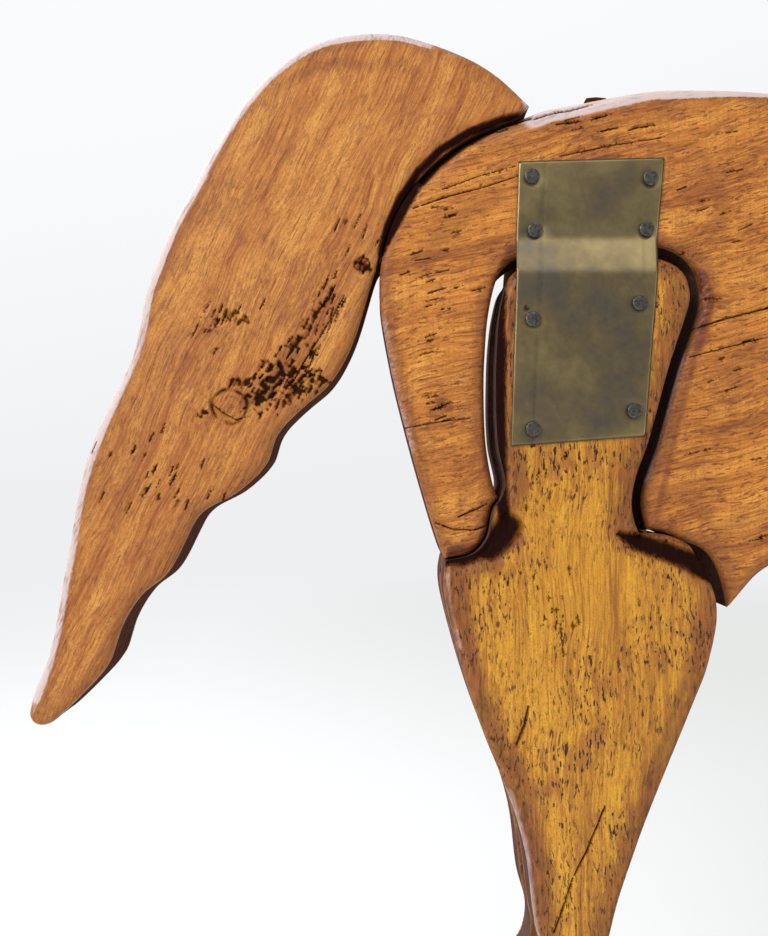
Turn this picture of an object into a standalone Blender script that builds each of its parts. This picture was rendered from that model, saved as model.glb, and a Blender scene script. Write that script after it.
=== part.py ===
"""Carved wooden horse on a low base, cut from flat boards.

The body board has a slot fore and aft. The rounded tenons of two legs stand side by side in each slot,
and on each face a bent brass plate with eight nails ties them to the body. The tail, and the neck with
its head, are boards butted against the body's rounded ends.

Metres, +Z up, +X towards the head, and the horse's right side faces -Y.
The origin is at the middle of the base's underside.
"""
import math

import bmesh
import bpy
from mathutils import Matrix, Vector
from mathutils.geometry import interpolate_bezier

# Driving dimensions
WITHERS_HEIGHT = 0.550          # soles to withers; the outlines below are in hundredths of it
BOARD_THICKNESS = 0.027         # body, tail and neck
LEG_PROUD = 0.0045              # a leg's face stands out this far from the body's, at the tenon's top
LEG_SPLAY = math.radians(1.5)   # each leg leans outwards, downwards from the tenon's top
TOUCH_GAP = 0.0003              # air between pieces that touch
SLOT_GAP = 0.0050               # air around a tenon in its slot
SLOT_SHIFT = 0.0010             # the slot sits this far forward of the tenon
LOBE_GAP = 0.0005               # air between the rump's lobe and the leg's shoulder that cups it

EDGE_ROUND = 0.0030             # worn arris of every board
SHOULDER_ROUND = 0.0070         # arris on a leg where its edge faces up
CROUP_ROUND = 0.0090            # arris on the body's top, next to the tail

PLATE_THICKNESS = 0.0008
PLATE_ABOVE_SLOT = (0.0326, 0.0342)     # back and front corner above the slot's top
PLATE_DOWN_LEG = (0.0762, 0.0723)       # back and front corner below the tenon's top
PLATE_FOOT_MARGIN = (0.0044, 0.0026)    # back and front corner inside the tenon's sides
PLATE_TOP_LEAN = (0.0042, 0.0097)       # back and front top corner forward of the foot corner
BEND_ABOVE_SLOT = 0.0018
BEND_DOWN_LEG = 0.0072

NAIL_HEAD_DIAMETER = 0.0060
NAIL_HEAD_THICKNESS = 0.0009
NAIL_SHANK_DIAMETER = 0.0022
NAIL_TIP_LENGTH = 0.0030
NAIL_TIP_COVER = 0.0030         # wood between a nail's point and the board's middle
NAIL_HOLE_CLEARANCE = 0.0003
NAIL_ABOVE_BEND = (0.0002, 0.0006)      # second row: back and front head edge above the bend
NAIL_BELOW_TOP = (0.0061, 0.0085)       # first row: back and front nail below the plate's top edge
NAIL_DOWN_LEG = (0.0264, 0.0201)        # third row: back and front nail below the tenon's top
NAIL_ABOVE_FOOT = (0.0066, 0.0098)      # fourth row: back and front nail above the plate's foot
NAIL_INSETS = ((0.0054, 0.0050), (0.0073, 0.0048), (0.0070, 0.0065), (0.0084, 0.0051))

BASE_HEIGHT = 0.022
BASE_END_MARGIN = 0.031         # beyond the hooves, fore and aft
BASE_SIDE_MARGIN = 0.0295       # beyond the hooves, on each side
BASE_ROUND = 0.003

MANE_LOCK_LENGTH = 0.029
MANE_LOCK_DEPTH = 0.0042
EYE_RADIUS = 0.0050
NOSTRIL_RADIUS = 0.0024
FACE_CUT_DEPTH = 0.0016

SAMPLE_STEP = 0.0010
FACET_TOLERANCE = 0.00022       # a board's facets stay this close to its smooth outline
NAIL_SIDES = 8
HOLE_SIDES = 8
EYE_SIDES = 14

# Sizes that follow from these
UNIT = WITHERS_HEIGHT / 100
SOLE_Z = BASE_HEIGHT + TOUCH_GAP
BODY_FACE = BOARD_THICKNESS / 2
LEG_FACE = BODY_FACE + LEG_PROUD
NAIL_DEPTH = BODY_FACE - NAIL_TIP_COVER
SHARP = True

# Outlines, anticlockwise with the head to the right, in hundredths of the withers height above the soles.
# A curve runs smoothly through its points and turns a corner at a SHARP one.

# From the withers along the back, over the croup and down the rump to its lobe
BACK_AND_RUMP = [
    (17.5, 99.9), (10.5, 98.3), (-2.5, 97.0), (-14.9, 98.3), (-21.0, 99.0), (-27.0, 99.2), (-31.6, 98.6),
    (-35.5, 97.9), (-37.4, 97.2), (-42.0, 95.0), (-45.3, 91.9), (-47.1, 88.4), (-47.7, 84.7), (-47.2, 80.5), (-45.3, 72.4), (-43.2, 65.4),
]
CROUP_X = (-36.0, -18.0)        # the wide arris of the croup fades out between these
TAIL_SEAM_Z = 86.4              # the tail leaves the rump here
# From the hind slot over the flank's point and along the belly to the fore slot
BELLY = [
    (-28.6, 66.9, SHARP), (-27.3, 66.8), (-25.5, 66.1), (-24.4, 65.7), (-23.5, 65.0), (-22.5, 62.7),
    (-22.2, 61.2, SHARP), (-19.4, 64.1), (-14.9, 65.4), (-6.2, 63.9), (9.8, 60.9), (18.7, 61.3),
    (19.7, 60.5, SHARP), (20.1, 62.5), (21.0, 64.6), (22.4, 66.2),
]
# From the fore slot over the breast and round the chest to the withers
CHEST = [
    (33.4, 67.1), (34.6, 66.8), (36.1, 66.1), (37.6, 64.7, SHARP), (40.2, 66.5), (42.7, 70.0),
    (44.6, 74.2), (45.5, 78.9), (45.1, 82.8), (43.3, 87.1), (40.4, 90.9), (36.4, 94.5), (31.3, 97.5),
    (25.5, 99.3), (17.5, 99.9),
]
NECK_SEAM_Z = 78.9              # the neck leaves the chest here

# From the tail's tip on the croup over its crown, down to its end and back up its hollow side
TAIL = [
    (-36.7, 97.9, SHARP), (-39.5, 100.4), (-44.2, 102.6), (-48.5, 103.3), (-53.1, 102.2), (-56.9, 99.2),
    (-60.2, 94.0), (-62.7, 89.5), (-64.6, 85.0), (-65.8, 79.7), (-68.0, 75.0), (-69.2, 72.0),
    (-69.8, 69.2), (-70.9, 63.1), (-72.0, 57.5), (-73.2, 54.3), (-73.2, 53.1), (-72.3, 52.6), (-70.2, 54.2),
    (-67.5, 57.1), (-66.4, 60.1), (-65.0, 62.2), (-63.3, 63.6), (-61.9, 66.0), (-60.8, 68.0),
    (-58.0, 69.7), (-55.9, 71.8), (-55.1, 73.9), (-53.2, 75.9), (-51.3, 77.6), (-49.7, 80.4),
    (-48.6, 83.8), (-47.9, 86.0),
]

# From the ear over the poll and down the crest, without the mane's locks
CREST = [
    (40.7, 134.8, SHARP), (38.2, 134.4), (35.3, 132.0), (32.2, 128.0), (29.5, 123.3), (26.5, 117.5),
    (23.8, 111.3), (20.9, 105.5), (17.5, 100.3, SHARP),
]
# From the neck's point on the chest up the throat, round the jaw and muzzle and over the brow to the ear
THROAT_AND_HEAD = [
    (46.3, 78.4, SHARP), (46.8, 81.5), (46.3, 86.5), (45.5, 92.4), (45.2, 98.2), (45.6, 103.3),
    (46.6, 107.6), (47.8, 110.0, SHARP), (50.0, 110.2), (52.1, 108.6), (54.9, 106.5), (57.2, 104.7),
    (59.0, 103.3), (60.4, 103.0), (61.5, 103.9), (61.6, 105.2, SHARP), (58.8, 107.1, SHARP),
    (62.0, 106.0, SHARP), (63.3, 107.6), (63.1, 109.7), (61.7, 111.9), (59.3, 114.9), (55.6, 119.9),
    (52.1, 124.9), (47.6, 131.3), (44.7, 134.5, SHARP), (44.7, 137.5), (43.7, 140.8, SHARP), (41.7, 137.9),
]
EYE = (48.6, 126.2)
NOSTRIL = (60.5, 109.0)

# A leg is a tenon, from the front shoulder's inner corner over its top to the back shoulder, and a shank,
# from there down and round the hoof back to the front shoulder
HIND_TENON = [
    (-29.1, 66.4, SHARP), (-29.6, 69.0), (-28.3, 73.6), (-26.8, 78.9), (-25.9, 81.5), (-25.3, 84.2),
    (-26.3, 86.2), (-30.4, 86.8), (-33.6, 86.7), (-36.1, 86.4), (-38.1, 85.4), (-38.8, 83.5),
    (-39.2, 80.1), (-39.3, 76.9), (-39.1, 72.7), (-38.6, 70.2),
]
HIND_CUP = [
    (-38.6, 70.2), (-38.9, 69.2), (-39.4, 68.5), (-39.6, 67.6), (-39.9, 66.4), (-40.9, 65.2),
    (-42.9, 64.7, SHARP),
]
HIND_SHANK = [
    (-42.9, 64.7, SHARP), (-43.1, 63.1), (-42.4, 59.5), (-40.5, 53.2), (-38.5, 48.2), (-37.4, 44.5),
    (-36.7, 39.3), (-36.0, 36.4), (-36.3, 34.3), (-37.5, 32.6), (-38.3, 30.3), (-38.3, 28.7),
    (-37.6, 26.9), (-36.9, 24.1), (-36.9, 18.2), (-36.9, 12.4), (-37.6, 10.3), (-37.6, 8.2), (-36.6, 6.0),
    (-35.9, 4.0), (-35.4, 0.0, SHARP), (-27.1, 0.0, SHARP), (-28.7, 3.5), (-29.8, 5.5), (-31.2, 7.6),
    (-31.4, 9.6), (-32.2, 12.0), (-32.5, 17.5), (-32.4, 24.7), (-31.6, 29.1), (-31.5, 32.7), (-31.8, 36.0),
    (-31.3, 38.9), (-29.6, 44.3), (-26.1, 53.0), (-24.2, 57.8), (-23.6, 61.5), (-24.3, 63.8), (-25.9, 65.9),
    (-27.5, 66.4), (-29.1, 66.4, SHARP),
]
FORE_TENON = [
    (31.6, 66.5, SHARP), (31.4, 69.1), (31.9, 73.5), (32.8, 77.8), (33.4, 82.2), (33.1, 84.7),
    (31.1, 86.3), (28.0, 86.7), (25.5, 86.3), (23.4, 84.9), (22.6, 82.2), (22.9, 77.8), (23.6, 73.5),
    (24.2, 69.1), (24.4, 65.8, SHARP),
]
FORE_SHANK = [
    (24.4, 65.8, SHARP), (22.2, 65.0), (20.7, 63.4), (20.4, 60.7), (21.1, 57.5), (22.5, 52.4), (24.2, 45.8),
    (25.4, 40.0), (25.8, 36.0), (25.5, 33.5), (26.0, 31.6), (26.5, 28.4), (26.7, 21.8), (26.5, 13.1),
    (25.8, 10.3), (25.7, 8.1), (26.5, 5.8), (27.1, 3.3), (27.4, 0.0, SHARP), (35.4, 0.0, SHARP),
    (33.8, 3.9), (32.8, 6.4), (31.9, 8.6), (31.8, 10.5), (31.0, 12.4), (30.7, 18.2), (30.8, 24.0),
    (31.2, 29.8), (31.9, 31.9), (32.4, 33.5), (32.2, 35.1), (31.7, 36.9), (32.1, 40.0), (33.2, 45.1),
    (34.5, 50.9), (35.6, 56.0), (36.1, 60.4), (35.4, 63.8), (33.8, 65.7), (31.6, 66.5, SHARP),
]


# Curves and outlines

def place(point):
    """Return an outline point in metres above the base's underside."""
    return Vector((point[0] * UNIT, point[1] * UNIT + SOLE_Z))


def curve(points):
    """Return closely spaced points along a smooth curve; the ends and the SHARP points are corners."""
    knots = [place(point) for point in points]
    last = len(knots) - 1
    headings = []
    for i, knot in enumerate(knots):
        corner = i in (0, last) or len(points[i]) == 3
        before, after = knots[max(i - 1, 0)], knots[min(i + 1, last)]
        way = (knot - before).normalized() + (after - knot).normalized()
        headings.append(None if corner else way.normalized())
    path = []
    for i in range(last):
        start, end = knots[i], knots[i + 1]
        reach = 0.36 * (end - start).length
        straight = (end - start).normalized()
        leave = headings[i] or straight
        arrive = headings[i + 1] or straight
        count = max(2, math.ceil((end - start).length / SAMPLE_STEP) + 1)
        path += interpolate_bezier(start, start + leave * reach, end - arrive * reach, end, count)[:-1]
    return [Vector(point[:2]) for point in path] + [knots[last]]


def outward_normals(path, closed=False):
    """Return unit normals to the right of the path, which is outside an anticlockwise outline."""
    normals = []
    last = len(path) - 1
    for i, point in enumerate(path):
        before = path[i - 1] if i or closed else point
        after = path[(i + 1) % len(path)] if i < last or closed else point
        way = Vector((0.0, 0.0))
        for step in (point - before, after - point):
            way += step.normalized()
        way.normalize()
        normals.append(Vector((way.y, -way.x)))
    return normals


def offset(path, gaps):
    """Return the path moved outwards by each point's gap, without the loops of tight hollows."""
    moved = []
    for point, normal, gap in zip(path, outward_normals(path), gaps):
        candidate = point + normal * gap
        if all((candidate - other).length > 0.98 * keep for other, keep in zip(path, gaps)):
            forward = SLOT_SHIFT if gap == SLOT_GAP else 0.0
            moved.append(candidate + Vector((forward, 0.0)))
    return moved


def thinned(path):
    """Drop the points of an open path that lie within the facet tolerance of the line left without them."""
    start, end = path[0], path[-1]
    chord = end - start
    if len(path) < 3:
        return path
    if chord.length < SAMPLE_STEP:
        gaps = [(point - start).length for point in path]
    else:
        across = Vector((-chord.y, chord.x)).normalized()
        gaps = [abs((point - start).dot(across)) for point in path]
    far = max(range(len(path)), key=gaps.__getitem__)
    if gaps[far] < FACET_TOLERANCE:
        return [start, end]
    return thinned(path[:far + 1])[:-1] + thinned(path[far:])


def closed_outline(*paths):
    """Join paths into one closed outline with only the points that its shape needs."""
    points = []
    for path in paths:
        for point in path:
            if not points or (point - points[-1]).length > TOUCH_GAP / 2:
                points.append(point)
    if (points[0] - points[-1]).length < TOUCH_GAP / 2:
        points.pop()
    return thinned(points + [points[0]])[:-1]


def mane(path):
    """Swell a path outwards into a row of locks."""
    length = sum((b - a).length for a, b in zip(path, path[1:]))
    locks = max(1, round(length / MANE_LOCK_LENGTH))
    run = 0.0
    swollen = []
    for i, (point, normal) in enumerate(zip(path, outward_normals(path))):
        if i:
            run += (point - path[i - 1]).length
        swell = abs(math.sin(math.pi * locks * run / length))
        swollen.append(point + normal * MANE_LOCK_DEPTH * swell)
    return swollen


# Boards

def finish(name, colour, roughness, metallic=0.0):
    """Return a plain material."""
    material = bpy.data.materials.new(name)
    material.use_nodes = True
    shader = material.node_tree.nodes["Principled BSDF"]
    shader.inputs["Base Color"].default_value = (*colour, 1.0)
    shader.inputs["Roughness"].default_value = roughness
    shader.inputs["Metallic"].default_value = metallic
    return material


def add_object(name, bm, material):
    """Turn a bmesh into a named object in the scene."""
    bmesh.ops.recalc_face_normals(bm, faces=bm.faces)
    mesh = bpy.data.meshes.new(name)
    bm.to_mesh(mesh)
    bm.free()
    mesh.materials.append(material)
    part = bpy.data.objects.new(name, mesh)
    bpy.context.scene.collection.objects.link(part)
    return part


def edge_arris(point, normal):
    """Arris of a plain board edge."""
    return EDGE_ROUND


def leg_arris(point, normal):
    """Arris of a leg: wide over the tenon and the shoulders, where the edge faces up."""
    return EDGE_ROUND + (SHOULDER_ROUND - EDGE_ROUND) * max(0.0, normal.y) ** 2


def body_arris(point, normal):
    """Arris of the body: wide on top of the croup, and fading out along the back."""
    back, front = (x * UNIT for x in CROUP_X)
    fade = min(1.0, max(0.0, (front - point.x) / (front - back)))
    above_slots = point.y > place((0.0, 92.0)).y
    return EDGE_ROUND + (CROUP_ROUND - EDGE_ROUND) * fade * above_slots * max(0.0, normal.y)


def inset(outline, widths):
    """Return the outline moved inwards by each point's width, narrowed where the edge turns tightly."""
    widths = list(widths)
    normals = outward_normals(outline, closed=True)
    count = len(outline)
    for attempt in range(12):
        inner = []
        for i in range(count):
            edge = (outline[(i + 1) % count] - outline[i]).normalized()
            lean = max(0.35, abs(normals[i].dot(Vector((edge.y, -edge.x)))))
            inner.append(outline[i] - normals[i] * (widths[i] / lean))
        steady = True
        for i in range(count):
            j = (i + 1) % count
            if (inner[j] - inner[i]).dot(outline[j] - outline[i]) <= 0.0:
                widths[i] *= 0.7
                widths[j] *= 0.7
                steady = False
        if steady:
            break
    return inner, widths


def board(name, outline, near, far, arris, material, lean=0.0, rounded=(True, True)):
    """Build a board between two faces, with its arrises taken off and its lower end leaning out."""
    normals = outward_normals(outline, closed=True)
    inner, widths = inset(outline, [arris(p, n) for p, n in zip(outline, normals)])
    flat = [0.0] * len(outline)
    rings = []
    if rounded[0]:
        rings.append((inner, near, flat))
    rings.append((outline, near, widths if rounded[0] else flat))
    rings.append((outline, far, [-width for width in widths] if rounded[1] else flat))
    if rounded[1]:
        rings.append((inner, far, flat))
    top = max(point.y for point in outline)
    bm = bmesh.new()
    loops = []
    for path, face, depths in rings:
        loop = []
        for point, depth in zip(path, depths):
            y = face + depth + lean * (top - point.y)
            loop.append(bm.verts.new((point.x, y, point.y)))
        loops.append(loop)
    bm.faces.new(loops[0])
    bm.faces.new(reversed(loops[-1]))
    for a, b in zip(loops, loops[1:]):
        for i in range(len(outline)):
            j = (i + 1) % len(outline)
            bm.faces.new((a[i], b[i], b[j], a[j]))
    return add_object(name, bm, material)


def cut_holes(part, holes):
    """Cut round holes into a part; each is a centre, an axis into the part, a radius, a depth and sides."""
    bm = bmesh.new()
    for centre, axis, radius, depth, sides in holes:
        turn = axis.to_track_quat("Z", "Y").to_matrix().to_4x4()
        middle = Matrix.Translation(centre + axis * (depth - NAIL_TIP_COVER) / 2)
        bmesh.ops.create_cone(bm, cap_ends=True, segments=sides, radius1=radius, radius2=radius,
                              depth=depth + NAIL_TIP_COVER, matrix=middle @ turn)
    cutter = add_object(part.name + "_cutter", bm, part.data.materials[0])
    cutter.hide_render = True
    cutter.display_type = "WIRE"
    cut = part.modifiers.new("holes", "BOOLEAN")
    cut.operation = "DIFFERENCE"
    cut.solver = "EXACT"
    cut.object = cutter


# Plates and nails

def side_x(path, z, front):
    """Return where a tenon's front or back side stands at a height."""
    crossings = []
    for a, b in zip(path, path[1:]):
        if (a.y - z) * (b.y - z) <= 0.0 and a.y != b.y:
            crossings.append(a.x + (b.x - a.x) * (z - a.y) / (b.y - a.y))
    return max(crossings) if front else min(crossings)


def leg_face(z, tenon_top):
    """Return how far a leg's outer face stands from the middle at a height."""
    return LEG_FACE + math.tan(LEG_SPLAY) * (tenon_top - z)


class Fastening:
    """Corners of the plate over one tenon, and its nails, seen from the side."""

    def __init__(self, tenon, leg_path):
        self.tenon_top = max(point.y for point in tenon)
        self.slot_top = self.tenon_top + SLOT_GAP
        self.top_z = [self.slot_top + above for above in PLATE_ABOVE_SLOT]
        self.foot_z = [self.tenon_top - down for down in PLATE_DOWN_LEG]
        self.foot_x = [
            side_x(leg_path, self.foot_z[0], front=False) + PLATE_FOOT_MARGIN[0],
            side_x(leg_path, self.foot_z[1], front=True) - PLATE_FOOT_MARGIN[1],
        ]
        self.top_x = [x + lean for x, lean in zip(self.foot_x, PLATE_TOP_LEAN)]
        self.bend_top = self.slot_top + BEND_ABOVE_SLOT
        self.bend_foot = self.tenon_top - BEND_DOWN_LEG

    def edge_x(self, side, z):
        """Return where the plate's back (0) or front (1) edge stands at a height."""
        share = (z - self.foot_z[side]) / (self.top_z[side] - self.foot_z[side])
        return self.foot_x[side] + (self.top_x[side] - self.foot_x[side]) * share

    def seat(self, z):
        """Return how far the wood under the plate stands from the middle at a height."""
        if z >= self.bend_top:
            return BODY_FACE
        face = leg_face(z, self.tenon_top)
        if z <= self.bend_foot:
            return face
        share = (self.bend_top - z) / (self.bend_top - self.bend_foot)
        return BODY_FACE + (face - BODY_FACE) * share

    def nails(self):
        """Yield each nail's x, z and whether it goes into the leg."""
        for side in (0, 1):
            inward = (1, -1)[side]
            heights = (
                self.top_z[side] - NAIL_BELOW_TOP[side],
                self.bend_top + NAIL_ABOVE_BEND[side] + NAIL_HEAD_DIAMETER / 2,
                self.tenon_top - NAIL_DOWN_LEG[side],
                self.foot_z[side] + NAIL_ABOVE_FOOT[side],
            )
            for row, z in enumerate(heights):
                x = self.edge_x(side, z) + inward * NAIL_INSETS[row][side]
                yield x, z, row >= 2


def outward_axis(side, in_leg):
    """Return the way a nail's head faces: side is -1 for the horse's right and 1 for its left."""
    tilt = LEG_SPLAY if in_leg else 0.0
    return Vector((0.0, side * math.cos(tilt), math.sin(tilt)))


def nail_holes(fastening, side, in_leg):
    """List the holes that one plate's nails need in the body, or in the leg."""
    holes = []
    for x, z, nail_in_leg in fastening.nails():
        if nail_in_leg == in_leg:
            centre = Vector((x, side * fastening.seat(z), z))
            radius = NAIL_SHANK_DIAMETER / 2 + NAIL_HOLE_CLEARANCE
            depth = NAIL_DEPTH + NAIL_HOLE_CLEARANCE
            holes.append((centre, -outward_axis(side, in_leg), radius, depth, HOLE_SIDES))
    return holes


def plate(name, fastening, side, material):
    """Build a brass plate, bent where it steps from the body's face on to the leg's."""
    bm = bmesh.new()
    rows = [fastening.top_z, [fastening.bend_top] * 2, [fastening.bend_foot] * 2, fastening.foot_z]
    under, over = [], []
    for heights in rows:
        for edge, z in enumerate(heights):
            x = fastening.edge_x(edge, z)
            y = fastening.seat(z) + TOUCH_GAP
            under.append(bm.verts.new((x, side * y, z)))
            over.append(bm.verts.new((x, side * (y + PLATE_THICKNESS), z)))
    rim = [0, 2, 4, 6, 7, 5, 3, 1]
    for first in (0, 2, 4):
        for skin in (under, over):
            bm.faces.new((skin[first], skin[first + 1], skin[first + 3], skin[first + 2]))
    for a, b in zip(rim, rim[1:] + rim[:1]):
        bm.faces.new((under[a], under[b], over[b], over[a]))
    sheet = add_object(name, bm, material)
    holes = []
    radius = NAIL_SHANK_DIAMETER / 2 + NAIL_HOLE_CLEARANCE
    for x, z, in_leg in fastening.nails():
        centre = Vector((x, side * (fastening.seat(z) + PLATE_THICKNESS), z))
        holes.append((centre, -outward_axis(side, in_leg), radius, 3 * PLATE_THICKNESS, HOLE_SIDES))
    cut_holes(sheet, holes)


def nail_mesh(material):
    """Build a clout nail: a flat head with a thinned rim, a shank and a point, its head facing +Z."""
    length = PLATE_THICKNESS + 2 * TOUCH_GAP + NAIL_DEPTH
    head, shank = NAIL_HEAD_DIAMETER / 2, NAIL_SHANK_DIAMETER / 2
    profile = [(head, NAIL_HEAD_THICKNESS), (head, 0.0), (shank, 0.0), (shank, NAIL_TIP_LENGTH - length)]
    bm = bmesh.new()
    rings = []
    for radius, z in profile:
        ring = []
        for i in range(NAIL_SIDES):
            angle = 2 * math.pi * i / NAIL_SIDES
            ring.append(bm.verts.new((radius * math.cos(angle), radius * math.sin(angle), z)))
        rings.append(ring)
    point = bm.verts.new((0.0, 0.0, -length))
    bm.faces.new(rings[0])
    for i in range(NAIL_SIDES):
        j = (i + 1) % NAIL_SIDES
        for upper, lower in zip(rings, rings[1:]):
            bm.faces.new((upper[i], lower[i], lower[j], upper[j]))
        bm.faces.new((rings[-1][i], point, rings[-1][j]))
    bmesh.ops.recalc_face_normals(bm, faces=bm.faces)
    mesh = bpy.data.meshes.new("nail")
    bm.to_mesh(mesh)
    bm.free()
    mesh.materials.append(material)
    return mesh


def drive_nails(plate_name, fastening, side, mesh):
    """Stand one nail in each hole of a plate."""
    for number, (x, z, in_leg) in enumerate(fastening.nails(), start=1):
        nail = bpy.data.objects.new(f"{plate_name}_nail_{number}", mesh)
        axis = outward_axis(side, in_leg)
        seat = Vector((x, side * fastening.seat(z), z))
        nail.location = seat + axis * (PLATE_THICKNESS + 2 * TOUCH_GAP)
        nail.rotation_euler = axis.to_track_quat("Z", "Y").to_euler()
        bpy.context.scene.collection.objects.link(nail)


# The horse

def build_base(legs, material):
    """Build the low board that the hooves stand on."""
    hooves = [point.x for outline, tenon_top in legs for point in outline if point.y < SOLE_Z + UNIT]
    length = max(hooves) - min(hooves) + 2 * BASE_END_MARGIN
    middle = (max(hooves) + min(hooves)) / 2
    reach = max(leg_face(SOLE_Z, tenon_top) for outline, tenon_top in legs)
    size = Vector((length, 2 * (reach + BASE_SIDE_MARGIN), BASE_HEIGHT))
    bm = bmesh.new()
    shape = Matrix.Translation((middle, 0.0, BASE_HEIGHT / 2)) @ Matrix.Diagonal((*size, 1.0))
    bmesh.ops.create_cube(bm, size=1.0, matrix=shape)
    base = add_object("base", bm, material)
    rounding = base.modifiers.new("worn edges", "BEVEL")
    rounding.width = BASE_ROUND
    rounding.segments = 2


def main():
    """Build every board, plate and nail."""
    for old in list(bpy.data.objects):
        bpy.data.objects.remove(old, do_unlink=True)
    stained = finish("stained pine", (0.42, 0.17, 0.055), 0.45)
    pale = finish("leg wood", (0.46, 0.24, 0.045), 0.45)
    brass = finish("aged brass", (0.13, 0.11, 0.06), 0.42, 0.9)
    steel = finish("dull steel", (0.09, 0.09, 0.10), 0.5, 0.9)

    hind_tenon, hind_cup, hind_shank = curve(HIND_TENON), curve(HIND_CUP), curve(HIND_SHANK)
    fore_tenon, fore_shank = curve(FORE_TENON), curve(FORE_SHANK)
    hind_leg = closed_outline(hind_tenon, hind_cup, hind_shank)
    fore_leg = closed_outline(fore_tenon, fore_shank)

    socket = hind_tenon + hind_cup
    gaps = [SLOT_GAP] * len(hind_tenon) + [LOBE_GAP] * len(hind_cup)
    hind_slot = offset(socket, gaps)
    fore_slot = offset(fore_tenon, [SLOT_GAP] * len(fore_tenon))
    rump, chest = curve(BACK_AND_RUMP), curve(CHEST)
    body_outline = closed_outline(rump, hind_slot[::-1], curve(BELLY), fore_slot[::-1], chest)
    body = board("body", body_outline, -BODY_FACE, BODY_FACE, body_arris, stained)

    tail_root = place((-37.4, 0.0)).x
    rump_seam = [p for p in rump if p.x <= tail_root and p.y >= place((0, TAIL_SEAM_Z)).y]
    tail_seam = offset(rump_seam, [TOUCH_GAP] * len(rump_seam))
    tail_outline = closed_outline(curve(TAIL), tail_seam[::-1])
    board("tail", tail_outline, -BODY_FACE, BODY_FACE, edge_arris, stained)

    chest_seam = [p for p in chest if p.y >= place((0, NECK_SEAM_Z)).y]
    neck_seam = offset(chest_seam, [TOUCH_GAP] * len(chest_seam))
    neck_outline = closed_outline(mane(curve(CREST)), neck_seam[::-1], curve(THROAT_AND_HEAD))
    neck = board("neck_head", neck_outline, -BODY_FACE, BODY_FACE, edge_arris, stained)
    face_cuts = []
    for side in (-1, 1):
        for spot, radius, sides in ((EYE, EYE_RADIUS, EYE_SIDES), (NOSTRIL, NOSTRIL_RADIUS, HOLE_SIDES)):
            flat = place(spot)
            centre = Vector((flat.x, side * BODY_FACE, flat.y))
            face_cuts.append((centre, Vector((0.0, -side, 0.0)), radius, FACE_CUT_DEPTH, sides))
    cut_holes(neck, face_cuts)

    nail = nail_mesh(steel)
    body_holes = []
    legs = []
    for end, outline, tenon in (("hind", hind_leg, hind_tenon), ("fore", fore_leg, fore_tenon)):
        fastening = Fastening(tenon, outline)
        legs.append((outline, fastening.tenon_top))
        for side, flank in ((-1, "right"), (1, "left")):
            outer, inner = side * LEG_FACE, side * TOUCH_GAP / 2
            lean = side * math.tan(LEG_SPLAY)
            near, far = min(outer, inner), max(outer, inner)
            rounded = (side < 0, side > 0)
            leg = board(f"{end}_leg_{flank}", outline, near, far, leg_arris, pale, lean, rounded)
            cut_holes(leg, nail_holes(fastening, side, in_leg=True))
            body_holes += nail_holes(fastening, side, in_leg=False)
            name = f"{end}_plate_{flank}"
            plate(name, fastening, side, brass)
            drive_nails(name, fastening, side, nail)
    cut_holes(body, body_holes)
    build_base(legs, stained)


main()
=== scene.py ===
import math
import random

import bpy
import numpy as np
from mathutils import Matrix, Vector, noise
from mathutils.geometry import delaunay_2d_cdt


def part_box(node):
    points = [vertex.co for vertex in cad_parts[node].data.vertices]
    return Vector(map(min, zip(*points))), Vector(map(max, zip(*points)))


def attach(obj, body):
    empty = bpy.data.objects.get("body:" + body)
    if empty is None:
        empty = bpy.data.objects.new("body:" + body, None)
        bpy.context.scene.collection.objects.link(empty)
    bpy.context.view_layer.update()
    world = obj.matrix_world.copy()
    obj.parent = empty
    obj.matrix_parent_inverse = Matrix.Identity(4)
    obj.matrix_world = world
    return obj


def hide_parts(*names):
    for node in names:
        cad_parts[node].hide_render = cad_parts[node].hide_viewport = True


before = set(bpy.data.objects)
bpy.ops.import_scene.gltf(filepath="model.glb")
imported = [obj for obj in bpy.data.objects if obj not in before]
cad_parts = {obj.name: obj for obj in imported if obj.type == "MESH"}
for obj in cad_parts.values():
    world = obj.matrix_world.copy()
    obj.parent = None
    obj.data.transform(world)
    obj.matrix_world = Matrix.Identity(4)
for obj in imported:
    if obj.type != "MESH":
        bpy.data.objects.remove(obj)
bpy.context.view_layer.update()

random.seed(7)

# Camera and light
# The photograph looks square on at the body's right face from close by, so the boards' edges show
# in perspective. The light is a soft white room with a broad window high on the left.
PHOTO_SCALE = 0.0004                    # metres of the body's face in one pixel of the photograph
PHOTO_SIZE = (768, 936)
PHOTO_MIDDLE = (384, 468)
PHOTO_ZERO = (1035, 1450)               # the pixel that the horse's middle and soles would fall on
BODY_FACE_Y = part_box("body")[0].y
SOLE_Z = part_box("hind_leg_right")[0].z
CAMERA_DISTANCE = 0.325
SENSOR = 36.0


def at(u, v, proud=0.0):
    """Return x and z of a pixel on a face that stands proud of the body's."""
    near = (CAMERA_DISTANCE - proud) / CAMERA_DISTANCE
    u = PHOTO_MIDDLE[0] + (u - PHOTO_MIDDLE[0]) * near
    v = PHOTO_MIDDLE[1] + (v - PHOTO_MIDDLE[1]) * near
    return (u - PHOTO_ZERO[0]) * PHOTO_SCALE, SOLE_Z + (PHOTO_ZERO[1] - v) * PHOTO_SCALE


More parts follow.
